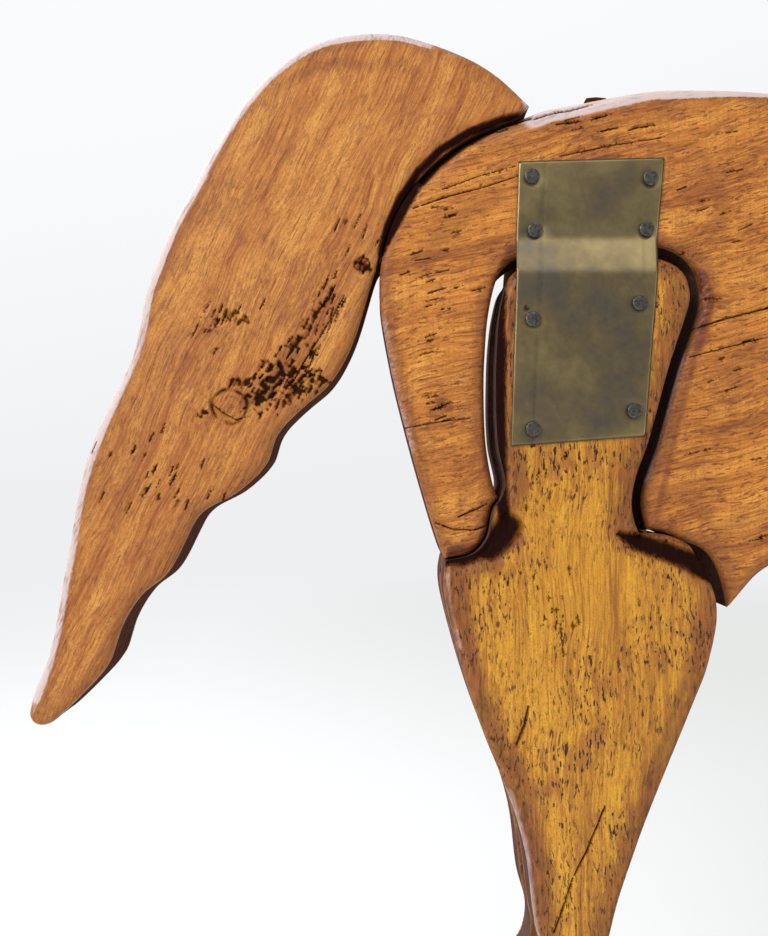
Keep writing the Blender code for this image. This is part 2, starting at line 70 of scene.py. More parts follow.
camera = bpy.data.objects.new("camera", bpy.data.cameras.new("camera"))
eye_x, eye_z = at(*PHOTO_MIDDLE)
camera.location = (eye_x, BODY_FACE_Y - CAMERA_DISTANCE, eye_z)
camera.rotation_euler = (math.pi / 2, 0.0, 0.0)
camera.data.sensor_width = SENSOR
camera.data.lens = SENSOR * CAMERA_DISTANCE / (PHOTO_SIZE[1] * PHOTO_SCALE)
camera.data.clip_start = 0.01
bpy.context.scene.collection.objects.link(camera)
bpy.context.scene.camera = camera
bpy.context.scene.view_settings.view_transform = "Standard"


def linear(colour):
    """Turn an sRGB hex colour into a linear one."""
    channels = [int(colour[i:i + 2], 16) / 255 for i in (0, 2, 4)]
    flat = [c / 12.92 if c <= 0.04045 else ((c + 0.055) / 1.055) ** 2.4 for c in channels]
    return (*flat, 1.0)


def add(tree, kind, settings=(), links=()):
    """Add a node; settings and links go to its properties or, by name or number, to its sockets.
    The setting stops gives a ramp its places and colours, and a linked node gives its first output."""
    node = tree.nodes.new(kind)
    for name, value in dict(settings).items():
        if name == "stops":
            steps = node.color_ramp.elements
            while len(steps) < len(value):
                steps.new(0.5)
            for step, (spot, colour) in zip(steps, value):
                step.position, step.color = spot, linear(colour)
        elif isinstance(name, str) and hasattr(node, name):
            setattr(node, name, value)
        else:
            node.inputs[name].default_value = value
    for name, source in dict(links).items():
        socket = source.outputs[0] if isinstance(source, bpy.types.Node) else source
        tree.links.new(socket, node.inputs[name])
    return node


# the camera sees a flat pale room, and the boards are lit by a softer one that is brightest behind
ROOM_LOW = "EEEFF1"                     # what the eye sees of the room, from eye level up
ROOM_HIGH = "FAFBFD"
ROOM_LIGHT = "E9EDF6"
world = bpy.data.worlds.new("white room")
bpy.context.scene.world = world
world.use_nodes = True
sky = world.node_tree
sky.nodes.clear()
way = add(sky, "ShaderNodeTexCoord").outputs["Generated"]
lift = add(sky, "ShaderNodeVectorMath", {"operation": "DOT_PRODUCT", 1: (-0.5, 0.0, 2.2)}, {0: way})
tone = add(sky, "ShaderNodeMix", {"data_type": "RGBA", 6: linear(ROOM_LOW), 7: linear(ROOM_HIGH)},
           {0: lift.outputs["Value"]}).outputs[2]
glow = add(sky, "ShaderNodeVectorMath", {"operation": "DOT_PRODUCT", 1: (-0.18, 0.22, 0.42)}, {0: way})
power = add(sky, "ShaderNodeMath", {"operation": "ADD", 1: 0.36}, {0: glow.outputs["Value"]})
seen = add(sky, "ShaderNodeBackground", links={"Color": tone})
lit = add(sky, "ShaderNodeBackground", {"Color": linear(ROOM_LIGHT)}, {"Strength": power})
ray = add(sky, "ShaderNodeLightPath")
room = add(sky, "ShaderNodeMixShader", links={0: ray.outputs["Is Camera Ray"], 1: lit, 2: seen})
add(sky, "ShaderNodeOutputWorld", links={"Surface": room})


def window(name, place, aim, size, power, colour):
    """Hang one soft light, a square of the given size that faces its aim."""
    light = bpy.data.objects.new(name, bpy.data.lights.new(name, "AREA"))
    light.data.size = size
    light.data.energy = power
    light.data.color = linear(colour)[:3]
    light.location = place
    light.rotation_euler = (Vector(aim) - Vector(place)).to_track_quat("-Z", "Y").to_euler()
    bpy.context.scene.collection.objects.link(light)


window("window", (-1.7, -1.5, 1.6), (-0.2, 0.0, 0.42), 1.1, 39, "FFFFFF")
window("ceiling", (0.15, -1.1, 1.9), (-0.2, 0.0, 0.45), 1.0, 5, "FFFFFF")
window("sky over the tail", (-1.0, 0.35, 1.4), (-0.3, 0.0, 0.5), 0.7, 15, "F0F0FF")
window("right fill", (2.2, -1.3, 0.7), (-0.1, 0.0, 0.4), 1.4, 12, "FFFAF2")

# Floor
# A painted studio floor that is pale and matt, and runs out to the white of the room without an edge. It
# glows with painted light as well as taking the lamps'. The object stands on it.
FLOOR_RADIUS = 30.0
bpy.ops.mesh.primitive_circle_add(vertices=96, radius=FLOOR_RADIUS, fill_type="NGON")
floor = bpy.context.object
floor.name = "floor"
# matt paint under a painted glow: it shows a faint soft shadow and no shine, its glow is a little darker to
# the right as painted shade, and far out it is only a glow of the room's colour
pale_floor = bpy.data.materials.new("pale matt floor")
pale_floor.use_nodes = True
tree = pale_floor.node_tree
tree.nodes.clear()
spot = add(tree, "ShaderNodeTexCoord").outputs["Object"]
across = add(tree, "ShaderNodeSeparateXYZ", links={0: spot}).outputs[0]
shade = add(tree, "ShaderNodeMapRange", {"From Min": -0.7, "From Max": 0.25}, {"Value": across})
tone = add(tree, "ShaderNodeMix", {"data_type": "RGBA", 6: linear("F9FBFA"), 7: linear("E6E7E2")},
           {0: shade}).outputs[2]
reach = add(tree, "ShaderNodeVectorMath", {"operation": "LENGTH"}, {0: spot})
far = add(tree, "ShaderNodeMapRange", {"From Min": 0.7, "From Max": 3.0}, {"Value": reach.outputs["Value"]})
blend = add(tree, "ShaderNodeMix", {"data_type": "RGBA", 7: linear(ROOM_LOW)},
            {0: far, 6: tone}).outputs[2]
matt = add(tree, "ShaderNodeBsdfDiffuse", {"Color": linear("A8A8A6")})
glow = add(tree, "ShaderNodeEmission", {"Strength": 0.62}, {"Color": tone})
both = add(tree, "ShaderNodeAddShader", links={0: matt, 1: glow})
edge = add(tree, "ShaderNodeEmission", links={"Color": blend})
floor_mix = add(tree, "ShaderNodeMixShader", links={0: far, 1: both, 2: edge})
add(tree, "ShaderNodeOutputMaterial", links={"Surface": floor_mix})
floor.data.materials.append(pale_floor)

# Tail
# One jigsaw-cut softwood board, stained orange-brown and waxed, with two knots and the torn grain
# between them. It is butted against the rump.
LOOP_STEP = 0.0012                                      # metres between points of an outline
CORNER = math.radians(42)                               # a turn past this stays sharp
ARRIS_RINGS = (0.03, 0.12, 0.28, 0.55, 0.85, 1.05)      # shares of the arris width
PHOTO_SPACING = 0.0014                                  # metres between points where the photo looks
PLAIN_SPACING = 0.0036                                  # and elsewhere
PHOTO_REACH = at(800, 960)                              # right and lower limits of the closer mesh


def board_loop(node):
    """Read a board's outline, anticlockwise, from the side walls of its CAD solid."""
    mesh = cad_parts[node].data
    near = {}
    for face in mesh.polygons:
        if abs(face.normal.y) > 0.01:
            continue
        corners = [mesh.vertices[i].co for i in face.vertices]
        spots = {(round(c.x, 5), round(c.z, 5)) for c in corners}
        if len(spots) == 2:
            a, b = sorted(spots)
            near.setdefault(a, set()).add(b)
            near.setdefault(b, set()).add(a)
    loops = []
    while near:
        spot = next(iter(near))
        loop = []
        while spot is not None:
            loop.append(spot)
            following = near.pop(spot)
            spot = next((other for other in following if other in near), None)
        loops.append(loop)
    loop = np.array(max(loops, key=lambda l: np.ptp([p[0] for p in l]) + len(l) * 1e-6))
    x, z = loop.T
    area = np.sum(x * np.roll(z, -1) - np.roll(x, -1) * z)
    return loop if area > 0 else loop[::-1]


def smooth_loop(loop, step):
    """Run a smooth curve through the facets of an outline, keeping its corners."""
    ahead = np.roll(loop, -1, axis=0) - loop
    length = np.linalg.norm(ahead, axis=1)
    heading = np.arctan2(ahead[:, 1], ahead[:, 0])
    turn = np.abs((heading - np.roll(heading, 1) + np.pi) % (2 * np.pi) - np.pi)
    corner = turn > CORNER
    count = len(loop)
    points = []
    for i in range(count):
        p1, p2 = loop[i], loop[(i + 1) % count]
        p0 = p1 - (p2 - p1) if corner[i] else loop[i - 1]
        p3 = p2 + (p2 - p1) if corner[(i + 1) % count] else loop[(i + 2) % count]
        t1 = np.linalg.norm(p1 - p0) ** 0.5 + 1e-9
        t2 = t1 + np.linalg.norm(p2 - p1) ** 0.5 + 1e-9
        t3 = t2 + np.linalg.norm(p3 - p2) ** 0.5 + 1e-9
        for t in np.linspace(t1, t2, max(1, math.ceil(length[i] / step)), endpoint=False):
            a1 = p0 + (p1 - p0) * t / t1
            a2 = p1 + (p2 - p1) * (t - t1) / (t2 - t1)
            a3 = p2 + (p3 - p2) * (t - t2) / (t3 - t2)
            b1 = a1 + (a2 - a1) * t / t2
            b2 = a2 + (a3 - a2) * (t - t1) / (t3 - t1)
            points.append(b1 + (b2 - b1) * (t - t1) / (t2 - t1))
    return np.array(points)


def loop_normals(loop):
    """Return unit normals that point out of an anticlockwise outline."""
    way = np.roll(loop, -1, axis=0) - np.roll(loop, 1, axis=0)
    way /= np.linalg.norm(way, axis=1)[:, None] + 1e-12
    return np.stack([way[:, 1], -way[:, 0]], axis=1)


def edge_distance(points, loop):
    """Return each point's distance to an outline, and the number of the outline point nearest to it."""
    distance = np.empty(len(points))
    nearest = np.empty(len(points), int)
    for first in range(0, len(points), 2000):
        part = points[first:first + 2000]
        gap = ((part[:, None, :] - loop[None, :, :]) ** 2).sum(2)
        k = gap.argmin(1)
        best = np.sqrt(gap[np.arange(len(part)), k])
        for other in ((k + 1) % len(loop), k - 1):
            edge = loop[other] - loop[k]
            share = ((part - loop[k]) * edge).sum(1) / ((edge ** 2).sum(1) + 1e-15)
            foot = loop[k] + edge * np.clip(share, 0, 1)[:, None]
            best = np.minimum(best, np.linalg.norm(part - foot, axis=1))
        distance[first:first + 2000] = best
        nearest[first:first + 2000] = k
    return distance, nearest


def inside(points, loop):
    """Tell which points lie inside an outline."""
    hit = np.zeros(len(points), bool)
    for a, b in zip(loop, np.roll(loop, -1, axis=0)):
        crosses = (a[1] > points[:, 1]) != (b[1] > points[:, 1])
        if crosses.any():
            x = a[0] + (b[0] - a[0]) * (points[:, 1] - a[1]) / (b[1] - a[1] + 1e-15)
            hit ^= crosses & (points[:, 0] < x)
    return hit


def stroke_points(strokes):
    """Return mesh points along a board's cuts, so that the cuts stay sharp."""
    points = []
    for path, width, depth in strokes:
        for a, b in zip(path, path[1:]):
            a, b = np.array(a), np.array(b)
            run = np.linalg.norm(b - a)
            across = np.array([a[1] - b[1], b[0] - a[0]]) / (run + 1e-12) * width
            for share in np.linspace(0, 1, max(2, round(run / 0.0011))):
                middle = a + (b - a) * share
                points += [middle, middle + across, middle - across]
    return np.array(points).reshape(-1, 2)


def cut(points, strokes):
    """Return how deep a set of tapered strokes cuts each point, and how dark it is there."""
    depth = np.zeros(len(points))
    dark = np.zeros(len(points))
    for path, width, reach in strokes:
        total = sum(math.dist(a, b) for a, b in zip(path, path[1:])) + 1e-12
        run = 0.0
        for a, b in zip(path, path[1:]):
            a, b = np.array(a), np.array(b)
            edge = b - a
            close = np.flatnonzero(
                (np.abs(points - (a + b) / 2) < np.abs(edge) / 2 + 2 * width).all(1))
            length = np.linalg.norm(edge)
            if len(close):
                share = ((points[close] - a) @ edge) / (length ** 2 + 1e-15)
                share = np.clip(share, 0, 1)
                gap = np.linalg.norm(points[close] - a - share[:, None] * edge, axis=1)
                along = (run + share * length) / total
                taper = np.minimum(1.0, 4.0 * np.minimum(along, 1 - along) + 0.25)
                bite = np.clip(1 - gap / (width * taper), 0, 1)
                depth[close] = np.maximum(depth[close], reach * bite ** 0.6)
                dark[close] = np.maximum(dark[close], np.minimum(1.0, 2.6 * bite))
            run += length
    return depth, dark


def soft_mark(points, stains_and_shade):
    """Return how strongly a set of soft strokes marks each point, for staining, painted shade, wear,
    painted highlight and swells.
    """
    total = np.zeros(len(points))
    for path, width, strength in stains_and_shade:
        best = np.full(len(points), 9.0)
        for a, b in zip(path, path[1:]):
            a, edge = np.array(a), np.array(b) - np.array(a)
            share = np.clip(((points - a) @ edge) / (edge @ edge + 1e-15), 0, 1)
            best = np.minimum(best, np.linalg.norm(points - a - share[:, None] * edge, axis=1))
        total = np.maximum(total, strength * np.exp(-(best / width) ** 2))
    return total


def wobble(points, size, seed):
    """Return smooth noise from -1 to 1 with hollows of a given size in metres."""
    return np.array([noise.noise(Vector((x / size, seed, z / size))) for x, z in points])


def splintered(points, patches):
    """Return how deep torn chips lie in soft-edged patches, each a path, half width, depth and angle."""
    depth = np.zeros(len(points))
    for path, width, reach, angle in patches:
        near = soft_mark(points, [(path, width, 1.0)])
        along = np.array([math.cos(angle), math.sin(angle)])
        for i in np.flatnonzero(near > 0.05):
            point = points[i]
            run, over = point @ along, point @ np.array([-along[1], along[0]])
            chip = noise.noise(Vector((run * 240, over * 720, 4.0)))
            chip += 0.6 * noise.noise(Vector((run * 700, over * 380, 9.0)))
            depth[i] = max(depth[i], reach * min(1.0, max(0.0, 2.4 * (chip + near[i] - 0.74))))
    return depth


def carved_board(name, node, arris, near_cuts, far_cuts=(), knots=(), patches=(), near_round=True,
                 far_round=True, waves=0.00035, worn_and_lit_from=(-0.5, 0.85), wear_and_highlight=0.3, worn_and_highlight_runs=(), stains_and_shade=(),
                 swells=()):
    """Model a board from its CAD outline: rounded arrises, faces uneven from handling, and cuts in both
    faces. The arrises that face the light get wear and a painted highlight.
    """
    low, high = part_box(node)
    loop = smooth_loop(board_loop(node), LOOP_STEP)
    loop += loop_normals(loop) * soft_mark(loop, swells)[:, None] / 1000
    loop = np.clip(loop, (low.x, low.z), (high.x, high.z))
    normals = loop_normals(loop)
    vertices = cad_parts[node].data.vertices
    co = np.array([v.co for v in vertices])
    top = loop[:, 1].max()
    middle = co[:, 1].mean()
    # a leg leans outwards, so its faces are read at the tenon and at the hoof
    lean = 0.0
    if "leg" in node:
        side = math.copysign(1.0, middle)
        outer = co[:, 1] * side
        head = outer[co[:, 2] > top - 0.04].max()
        foot = outer[co[:, 2] < SOLE_Z + 0.004].max()
        lean = side * (foot - head) / (top - 0.02 - SOLE_Z)
        inner = (co[co[:, 2] > top - 0.012, 1] * side).min()
        faces = sorted((side * inner, side * (head - 0.012 * abs(lean))))
    else:
        faces = [low.y, high.y]
    widths = np.array([arris(x, z, nx, nz) for (x, z), (nx, nz) in zip(loop, normals)])
    widths *= 1.0 + 0.22 * wobble(loop, 0.018, 3.1)
    count = len(loop)
    vertices_out, triangles, marks = [], [], []
    rims = []
    for is_far, y, strokes, rounded in (
            (False, faces[0], near_cuts, near_round), (True, faces[1], far_cuts, far_round)):
        # loose points of this face: arris rings, a grid that is closer where the photo looks, and
        # closer points along cuts, in knots and in torn patches
        close = not is_far and y < 0
        ring_widths = widths if rounded else widths * 0.25
        rings = [loop - normals * (ring_widths * share)[:, None] for share in ARRIS_RINGS]
        spots = [ring[::1 if close else 2] for ring in rings]
        corner = loop.min(0), loop.max(0)
        for spacing, fine in ((PLAIN_SPACING, False), (PHOTO_SPACING, True)):
            if fine and not close:
                continue
            xs = np.arange(corner[0][0], corner[1][0], spacing)
            zs = np.arange(corner[0][1], corner[1][1], spacing * 0.87)
            grid = np.array(np.meshgrid(xs, zs)).transpose(1, 2, 0)
            grid[1::2, :, 0] += spacing / 2
            grid = grid.reshape(-1, 2)
            grid += np.array([random.uniform(-0.18, 0.18) for i in range(grid.size)]).reshape(
                -1, 2) * spacing
            shown = (grid[:, 0] < PHOTO_REACH[0]) & (grid[:, 1] > PHOTO_REACH[1])
            if close:
                grid = grid[shown if fine else ~shown]
            spots.append(grid)
        spots.append(stroke_points(strokes))
        for (kx, kz), radius, strength in knots:
            for ring in np.arange(0.0, radius * 1.5, 0.0009):
                turns = np.arange(0, 2 * np.pi, 0.0011 / max(ring, 0.0011))
                spots.append(np.stack([kx + ring * np.cos(turns), kz + ring * np.sin(turns)], 1))
        for path, width, reach, angle in patches:
            xs, zs = np.array(path).T
            fine = np.array(np.meshgrid(
                np.arange(xs.min() - 1.6 * width, xs.max() + 1.6 * width, 0.00055),
                np.arange(zs.min() - 1.6 * width, zs.max() + 1.6 * width, 0.00055))).reshape(2, -1).T
            spots.append(fine[soft_mark(fine, [(path, width, 1.0)]) > 0.06])
        free = np.concatenate(spots)
        distance, nearest = edge_distance(free, loop)
        free = free[inside(free, loop) & (distance > 0.00008)]
        # triangles between them, and how deep each point lies under the board's flat face
        every = np.concatenate([loop, free])
        result = delaunay_2d_cdt([Vector(p) for p in every], [], [list(range(count))], 1, 1e-6)
        every = np.array([tuple(p) for p in result[0]])
        distance, nearest = edge_distance(every, loop)
        width = ring_widths[nearest]
        share = np.clip(1 - distance / width, 0, 1)
        sunk = width * (1 - np.sqrt(np.clip(1 - share ** 2, 0, 1)))
        field = np.clip(distance / 0.008, 0, 1)
        face_wave = waves * wobble(every, 0.045, 5.0 if is_far else 1.0) * field
        face_wave += 0.12 * waves * wobble(every, 0.006, 9.0) * field
        depth, dark = cut(every, strokes)
        for (kx, kz), radius, strength in knots:
            reach = np.hypot(every[:, 0] - kx, (every[:, 1] - kz) * 1.15)
            reach = reach * (1 + 0.2 * wobble(every, 0.006, 2.0))
            within = reach < radius
            ridge = np.maximum(0, np.sin(reach / radius * 13.0)) ** 3 * within
            rim = np.exp(-((reach - radius) / (0.10 * radius)) ** 2)
            rim *= np.clip(0.75 + 1.3 * wobble(every, 0.004, 6.0), 0.15, 1)
            depth += strength * (0.0008 * rim + 0.0002 * ridge)
            dark = np.maximum(dark, strength * np.maximum(rim, 0.22 * ridge))
        chips = splintered(every, patches)
        depth = np.maximum(depth, chips)
        # the torn chips are drawn darker the deeper they lie: painted shade in their hollows
        dark = np.maximum(dark, np.clip(chips / 0.0009, 0, 0.95))
        depth *= field if not len(strokes) else np.clip(distance / 0.0015, 0, 1)
        depth = sunk + depth + face_wave
        sign = -1.0 if is_far else 1.0
        ys = y + sign * np.maximum(depth, 0.0) + lean * (top - every[:, 1])
        # what the wood material reads at each point
        first = len(vertices_out)
        vertices_out += [(x, yy, z) for (x, z), yy in zip(every, ys)]
        # the arrises that face up and to the left are painted paler: partly wear, partly a painted
        # highlight where they face the window
        worn_and_lit_way = np.clip(normals @ np.array(worn_and_lit_from), 0, 1)[nearest]
        rubbed = np.maximum(wear_and_highlight * worn_and_lit_way, soft_mark(every, worn_and_highlight_runs))
        worn = np.clip((share - 0.03) * 5, 0, 1) * rubbed
        # stain and painted shade, laid in soft strokes
        stain_and_shade_mark = soft_mark(every, stains_and_shade)
        marks += [(d, k, w, 0.0, g) for d, k, w, g in zip(distance, dark, worn, stain_and_shade_mark)]
        for a, b, c in (face for face in result[2] if len(face) == 3):
            triangles.append((first + a, first + b, first + c) if not is_far
                             else (first + a, first + c, first + b))
        lookup = {}
        for new, old in enumerate(result[3]):
            for number in old:
                lookup[number] = first + new
        rims.append([lookup[i] for i in range(count)])
    # the sawn wall between the two faces
    wall = [rims[0]]
    edge_y = [np.array([vertices_out[i][1] for i in rim]) for rim in rims]
    for share in (0.04, 0.3, 0.7, 0.96):
        first = len(vertices_out)
        saw = 0.00018 * wobble(loop, 0.004, 20 * share) if 0.1 < share < 0.9 else np.zeros(count)
        ys = edge_y[0] + (edge_y[1] - edge_y[0]) * share
        for (x, z), (nx, nz), y, bump, w in zip(loop, normals, ys, saw, widths):
            vertices_out.append((x - nx * (0.0001 + abs(bump)), y, z - nz * (0.0001 + abs(bump))))
            # walls that face up and to the left are painted paler too: wear and a painted highlight
            worn = wear_and_highlight * max(0.0, nx * worn_and_lit_from[0] + nz * worn_and_lit_from[1])
            marks.append((0.0, 0.0, worn, 1.0, 0.0))
        wall.append(list(range(first, first + count)))
    wall.append(rims[1])
    quads = []
    for a, b in zip(wall, wall[1:]):
        for i in range(count):
            j = (i + 1) % count
            quads.append((a[i], b[i], b[j], a[j]))
    mesh = bpy.data.meshes.new(name)
    mesh.from_pydata(vertices_out, [], triangles + quads)
    mesh.shade_smooth()
    for label, values in zip(("edge", "dark", "worn", "wall", "stain"), zip(*marks)):
        mesh.attributes.new(label, "FLOAT", "POINT").data.foreach_set("value", list(values))
    piece = bpy.data.objects.new(name, mesh)
    bpy.context.scene.collection.objects.link(piece)
    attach(piece, "root")
    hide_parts(node)
    return piece


def waxed_softwood(name, pale, middle, deep, grain, line=0.9, run=45.0, contrast=0.6, blotch=0.45,
                   blotch_size=26.0, pores=0.5, pore_size=(5.0, 0.55), rim=0.5, rim_width=9.0,
                   seed=0.0, saw=1.57, saw_depth=0.10, fleck=0.35):
    """Softwood pine, sawn, carved, given its staining by hand and waxed.

    It gives the eye soft streaks along the grain, faint saw marks across it, and dark staining that has
    collected in blotches, pores and rims, under a low satin gloss, with painted highlight on the arrises
    and walls that face up and left, and painted shade on the sawn walls, in torn chips and along placed
    strokes. Sizes are in millimetres, and grain and saw are slope angles. Pores and grit are drawn about
    twice as coarse as they are, so they show.
    """
    material = bpy.data.materials.new(name)
    material.use_nodes = True
    tree = material.node_tree
    tree.nodes.clear()
    marked = {}
    for label in ("edge", "dark", "worn", "wall", "stain"):
        marked[label] = add(tree, "ShaderNodeAttribute", {"attribute_name": label}).outputs["Fac"]

    # the board's own place, turned to the grain and bent a little, so that no streak is ruled
    spot = add(tree, "ShaderNodeTexCoord").outputs["Object"]
    place = add(tree, "ShaderNodeVectorMath", {"operation": "ADD", 1: (seed, seed, seed)}, {0: spot})
    turned = add(tree, "ShaderNodeVectorRotate", {
        "rotation_type": "AXIS_ANGLE", "Axis": (0, 1, 0), "Angle": grain}, {"Vector": place})
    hollows = add(tree, "ShaderNodeTexNoise", {"Scale": 1000 / 45, "Detail": 2.0}, {"Vector": place})
    bend = add(tree, "ShaderNodeVectorMath", {"operation": "SCALE", "Scale": 9 / 1000},
               {0: hollows.outputs["Color"]})
    along_grain = add(tree, "ShaderNodeVectorMath", {"operation": "ADD"}, {0: turned, 1: bend})

    # streaks, each with its length and width in millimetres, its detail and where it starts
    streak = {}
    for label, length, width, detail, start in (
            ("fine", run, line, 3.0, 0.0), ("broad", run * 3, line * 9, 3.0, 31.0),
            ("late", run * 2.2, line * 0.9, 2.0, 83.0), ("chips", 4.2, 0.95, 4.0, 71.0),
            ("speck", pore_size[0] * 2, pore_size[1] * 2, 4.0, 12.0),
            ("pores", pore_size[0], pore_size[1], 2.0, 57.0)):
        scaled = add(tree, "ShaderNodeMapping", {
            "Scale": (1000 / length, 1000 / width, 1000 / width), "Location": (start, start, start)},
            {"Vector": along_grain})
        streak[label] = add(tree, "ShaderNodeTexNoise", {"Scale": 1.0, "Detail": detail,
                            "Roughness": 0.6}, {"Vector": scaled}).outputs["Fac"]
    mottle = add(tree, "ShaderNodeTexNoise", {"Scale": 1000 / blotch_size, "Detail": 6.0,
                 "Roughness": 0.66, "Distortion": 0.4}, {"Vector": place}).outputs["Fac"]
    grit = add(tree, "ShaderNodeTexNoise", {"Scale": 1000 / 0.6, "Detail": 3.0},
               {"Vector": place}).outputs["Fac"]
    sawn = add(tree, "ShaderNodeVectorRotate", {
        "rotation_type": "AXIS_ANGLE", "Axis": (0, 1, 0), "Angle": saw}, {"Vector": place})
    sawn = add(tree, "ShaderNodeMapping", {"Scale": (1000 / 33, 1000 / 1.1, 1000 / 1.1)},
               {"Vector": sawn})
    sawn = add(tree, "ShaderNodeTexNoise", {"Scale": 1.0, "Detail": 2.0}, {"Vector": sawn})

    # sums of these, each held between 0 and 1; a number stands where no node is linked
    total = {}
    for label, operation, first, second in (
            ("half fine", "MULTIPLY", streak["fine"], 0.5),
            ("half broad", "MULTIPLY", streak["broad"], 0.5),
            ("grain", "ADD", "half fine", "half broad"),
            ("half mottle", "MULTIPLY", mottle, 0.5),
            ("half speck", "MULTIPLY", streak["speck"], 0.5),
            ("ragged", "ADD", "half mottle", "half speck"),
            ("over half", "SUBTRACT", "ragged", 0.5),
            # stain and painted shade placed in strokes
            ("placed", "ADD", "over half", marked["stain"]),
            ("rims away", "DIVIDE", marked["edge"], rim_width / 1000),
            ("over rim", "SUBTRACT", "ragged", 0.42),
            ("rim reach", "MULTIPLY", "over rim", 3.5),
            ("near rim", "SUBTRACT", "rims away", "rim reach"),
            ("rub reach", "MULTIPLY", "over half", 0.9),
            ("rubbed", "ADD", marked["worn"], "rub reach"),
            ("pale wall", "MULTIPLY", marked["worn"], marked["wall"]),
            ("low fine", "MULTIPLY", streak["fine"], 0.25),
            ("low speck", "MULTIPLY", streak["speck"], 0.3),
            ("skin", "ADD", "low fine", "low speck"),
            ("face", "SUBTRACT", 1.0, marked["wall"]),
            ("clean", "SUBTRACT", 0.32, marked["dark"]),
            ("shine", "MULTIPLY", "face", "clean")):
        given = [total[part] if isinstance(part, str) else part for part in (first, second)]
        numbers = {i: part for i, part in enumerate(given) if isinstance(part, (int, float))}
        linked = {i: part for i, part in enumerate(given) if i not in numbers}
        total[label] = add(tree, "ShaderNodeMath", {"operation": operation, "use_clamp": True,
                                                    **numbers}, linked)

    # soft shares of each finish: from, to and how much of it
    share = {}
    for label, value, low, high, most in (
            ("late", streak["late"], 0.58, 0.68, 0.6), ("saw", sawn, 0.45, 0.75, saw_depth * 4),
            ("chips", streak["chips"], 0.55, 0.63, fleck), ("blotch", total["ragged"], 0.49, 0.60, blotch),
            ("placed", total["placed"], 0.22, 0.85, 1.0), ("rim", total["near rim"], 0.75, 0.05, rim),
            ("grit", grit, 0.42, 0.66, 0.28), ("pores", streak["pores"], 0.575, 0.61, 1.0),
            ("open", mottle, 0.36, 0.56, pores), ("rubbed", total["rubbed"], 0.12, 0.5, 1.0)):
        share[label] = add(tree, "ShaderNodeMapRange", {
            "interpolation_type": "SMOOTHSTEP", "From Min": low, "From Max": high, "To Max": most},
            {"Value": value})
    either = add(tree, "ShaderNodeMath", {"operation": "MAXIMUM", "use_clamp": True},
                 {0: share["blotch"], 1: share["placed"]})
    gathered_stain_and_shade = add(tree, "ShaderNodeMath", {"operation": "MAXIMUM", "use_clamp": True},
                   {0: either, 1: share["rim"]})
    pits = add(tree, "ShaderNodeMath", {"operation": "MULTIPLY", "use_clamp": True},
               {0: share["pores"], 1: share["open"]})

    # colours laid over each other, from the bare grain to the near black in the cuts
    half = 0.13 / contrast
    colour = add(tree, "ShaderNodeValToRGB", {
        "stops": [(0.5 - half, deep), (0.5, middle), (0.5 + half * 0.9, pale)]},
        {"Fac": total["grain"]}).outputs["Color"]
    for amount, along, stops in (
            (share["late"], streak["speck"], [(0.3, "5A2E1A"), (0.7, deep)]),
            (share["saw"], streak["speck"], [(0.3, deep), (0.7, middle)]),
            (share["chips"], streak["speck"], [(0.35, "6A3219"), (0.65, deep)]),
            # dark stain in blotches and rims, and painted shade where the placed strokes lay it
            (gathered_stain_and_shade, streak["speck"], [(0.34, "45200F"), (0.5, "743C1F"), (0.66, "94512A")]),
            (share["grit"], streak["speck"], [(0.3, "3A1C10"), (0.7, deep)]),
            (pits, streak["fine"], [(0.0, "2C150C"), (1.0, "4C2614")]),
            # pale lavender on the arrises: wear and a painted highlight
            (share["rubbed"], total["ragged"], [(0.36, "8F6A5E"), (0.5, "C9B4AE")]),
            # dark brown sawn walls: partly stain soaked into the sawn grain, partly painted shade
            (marked["wall"], streak["fine"], [(0.3, "33201B"), (0.7, "5E3F34")]),
            # paler walls where they face up and to the left: wear and a painted highlight
            (total["pale wall"], total["ragged"], [(0.38, "84695C"), (0.55, "B7A298")]),
            # near black in the cuts, the knots' rings and the chips, with painted shade in the chips'
            # hollows and along the seam and shoulder strokes
            (marked["dark"], streak["fine"], [(0.0, "140A08"), (1.0, "2B1510")])):
        laid = add(tree, "ShaderNodeValToRGB", {"stops": stops}, {"Fac": along})
        colour = add(tree, "ShaderNodeMix", {"data_type": "RGBA"}, {0: amount, 6: colour, 7: laid})
        colour = colour.outputs[2]
    sunk = add(tree, "ShaderNodeMath", {"operation": "MULTIPLY", "use_clamp": True, 1: 0.8}, {0: pits})
    height = add(tree, "ShaderNodeMath", {"operation": "SUBTRACT", "use_clamp": True},
                 {0: total["skin"], 1: sunk})
    bump = add(tree, "ShaderNodeBump", {"Strength": 0.3, "Distance": 0.0005}, {"Height": height})
    gloss = add(tree, "ShaderNodeMapRange", {"To Min": 0.42, "To Max": 0.62}, {"Value": mottle})
    wood = add(tree, "ShaderNodeBsdfPrincipled", links={
        "Base Color": colour, "Specular IOR Level": total["shine"], "Roughness": gloss, "Normal": bump})
    add(tree, "ShaderNodeOutputMaterial", links={"Surface": wood})
    return material


def photo_soft_mark(pixels, width, strength, proud=0.0):
    """Place one soft stroke by its pixels, for staining, painted shade, wear, painted highlight and swells;
    its half width is in millimetres.
    """
    return [at(u, v, proud) for u, v in pixels], width / 1000, strength


def photo_stroke(pixels, width, depth, proud=0.0):
    """Place one cut by its pixels; its half width and depth are in millimetres."""
    return [at(u, v, proud) for u, v in pixels], width / 1000, depth / 1000


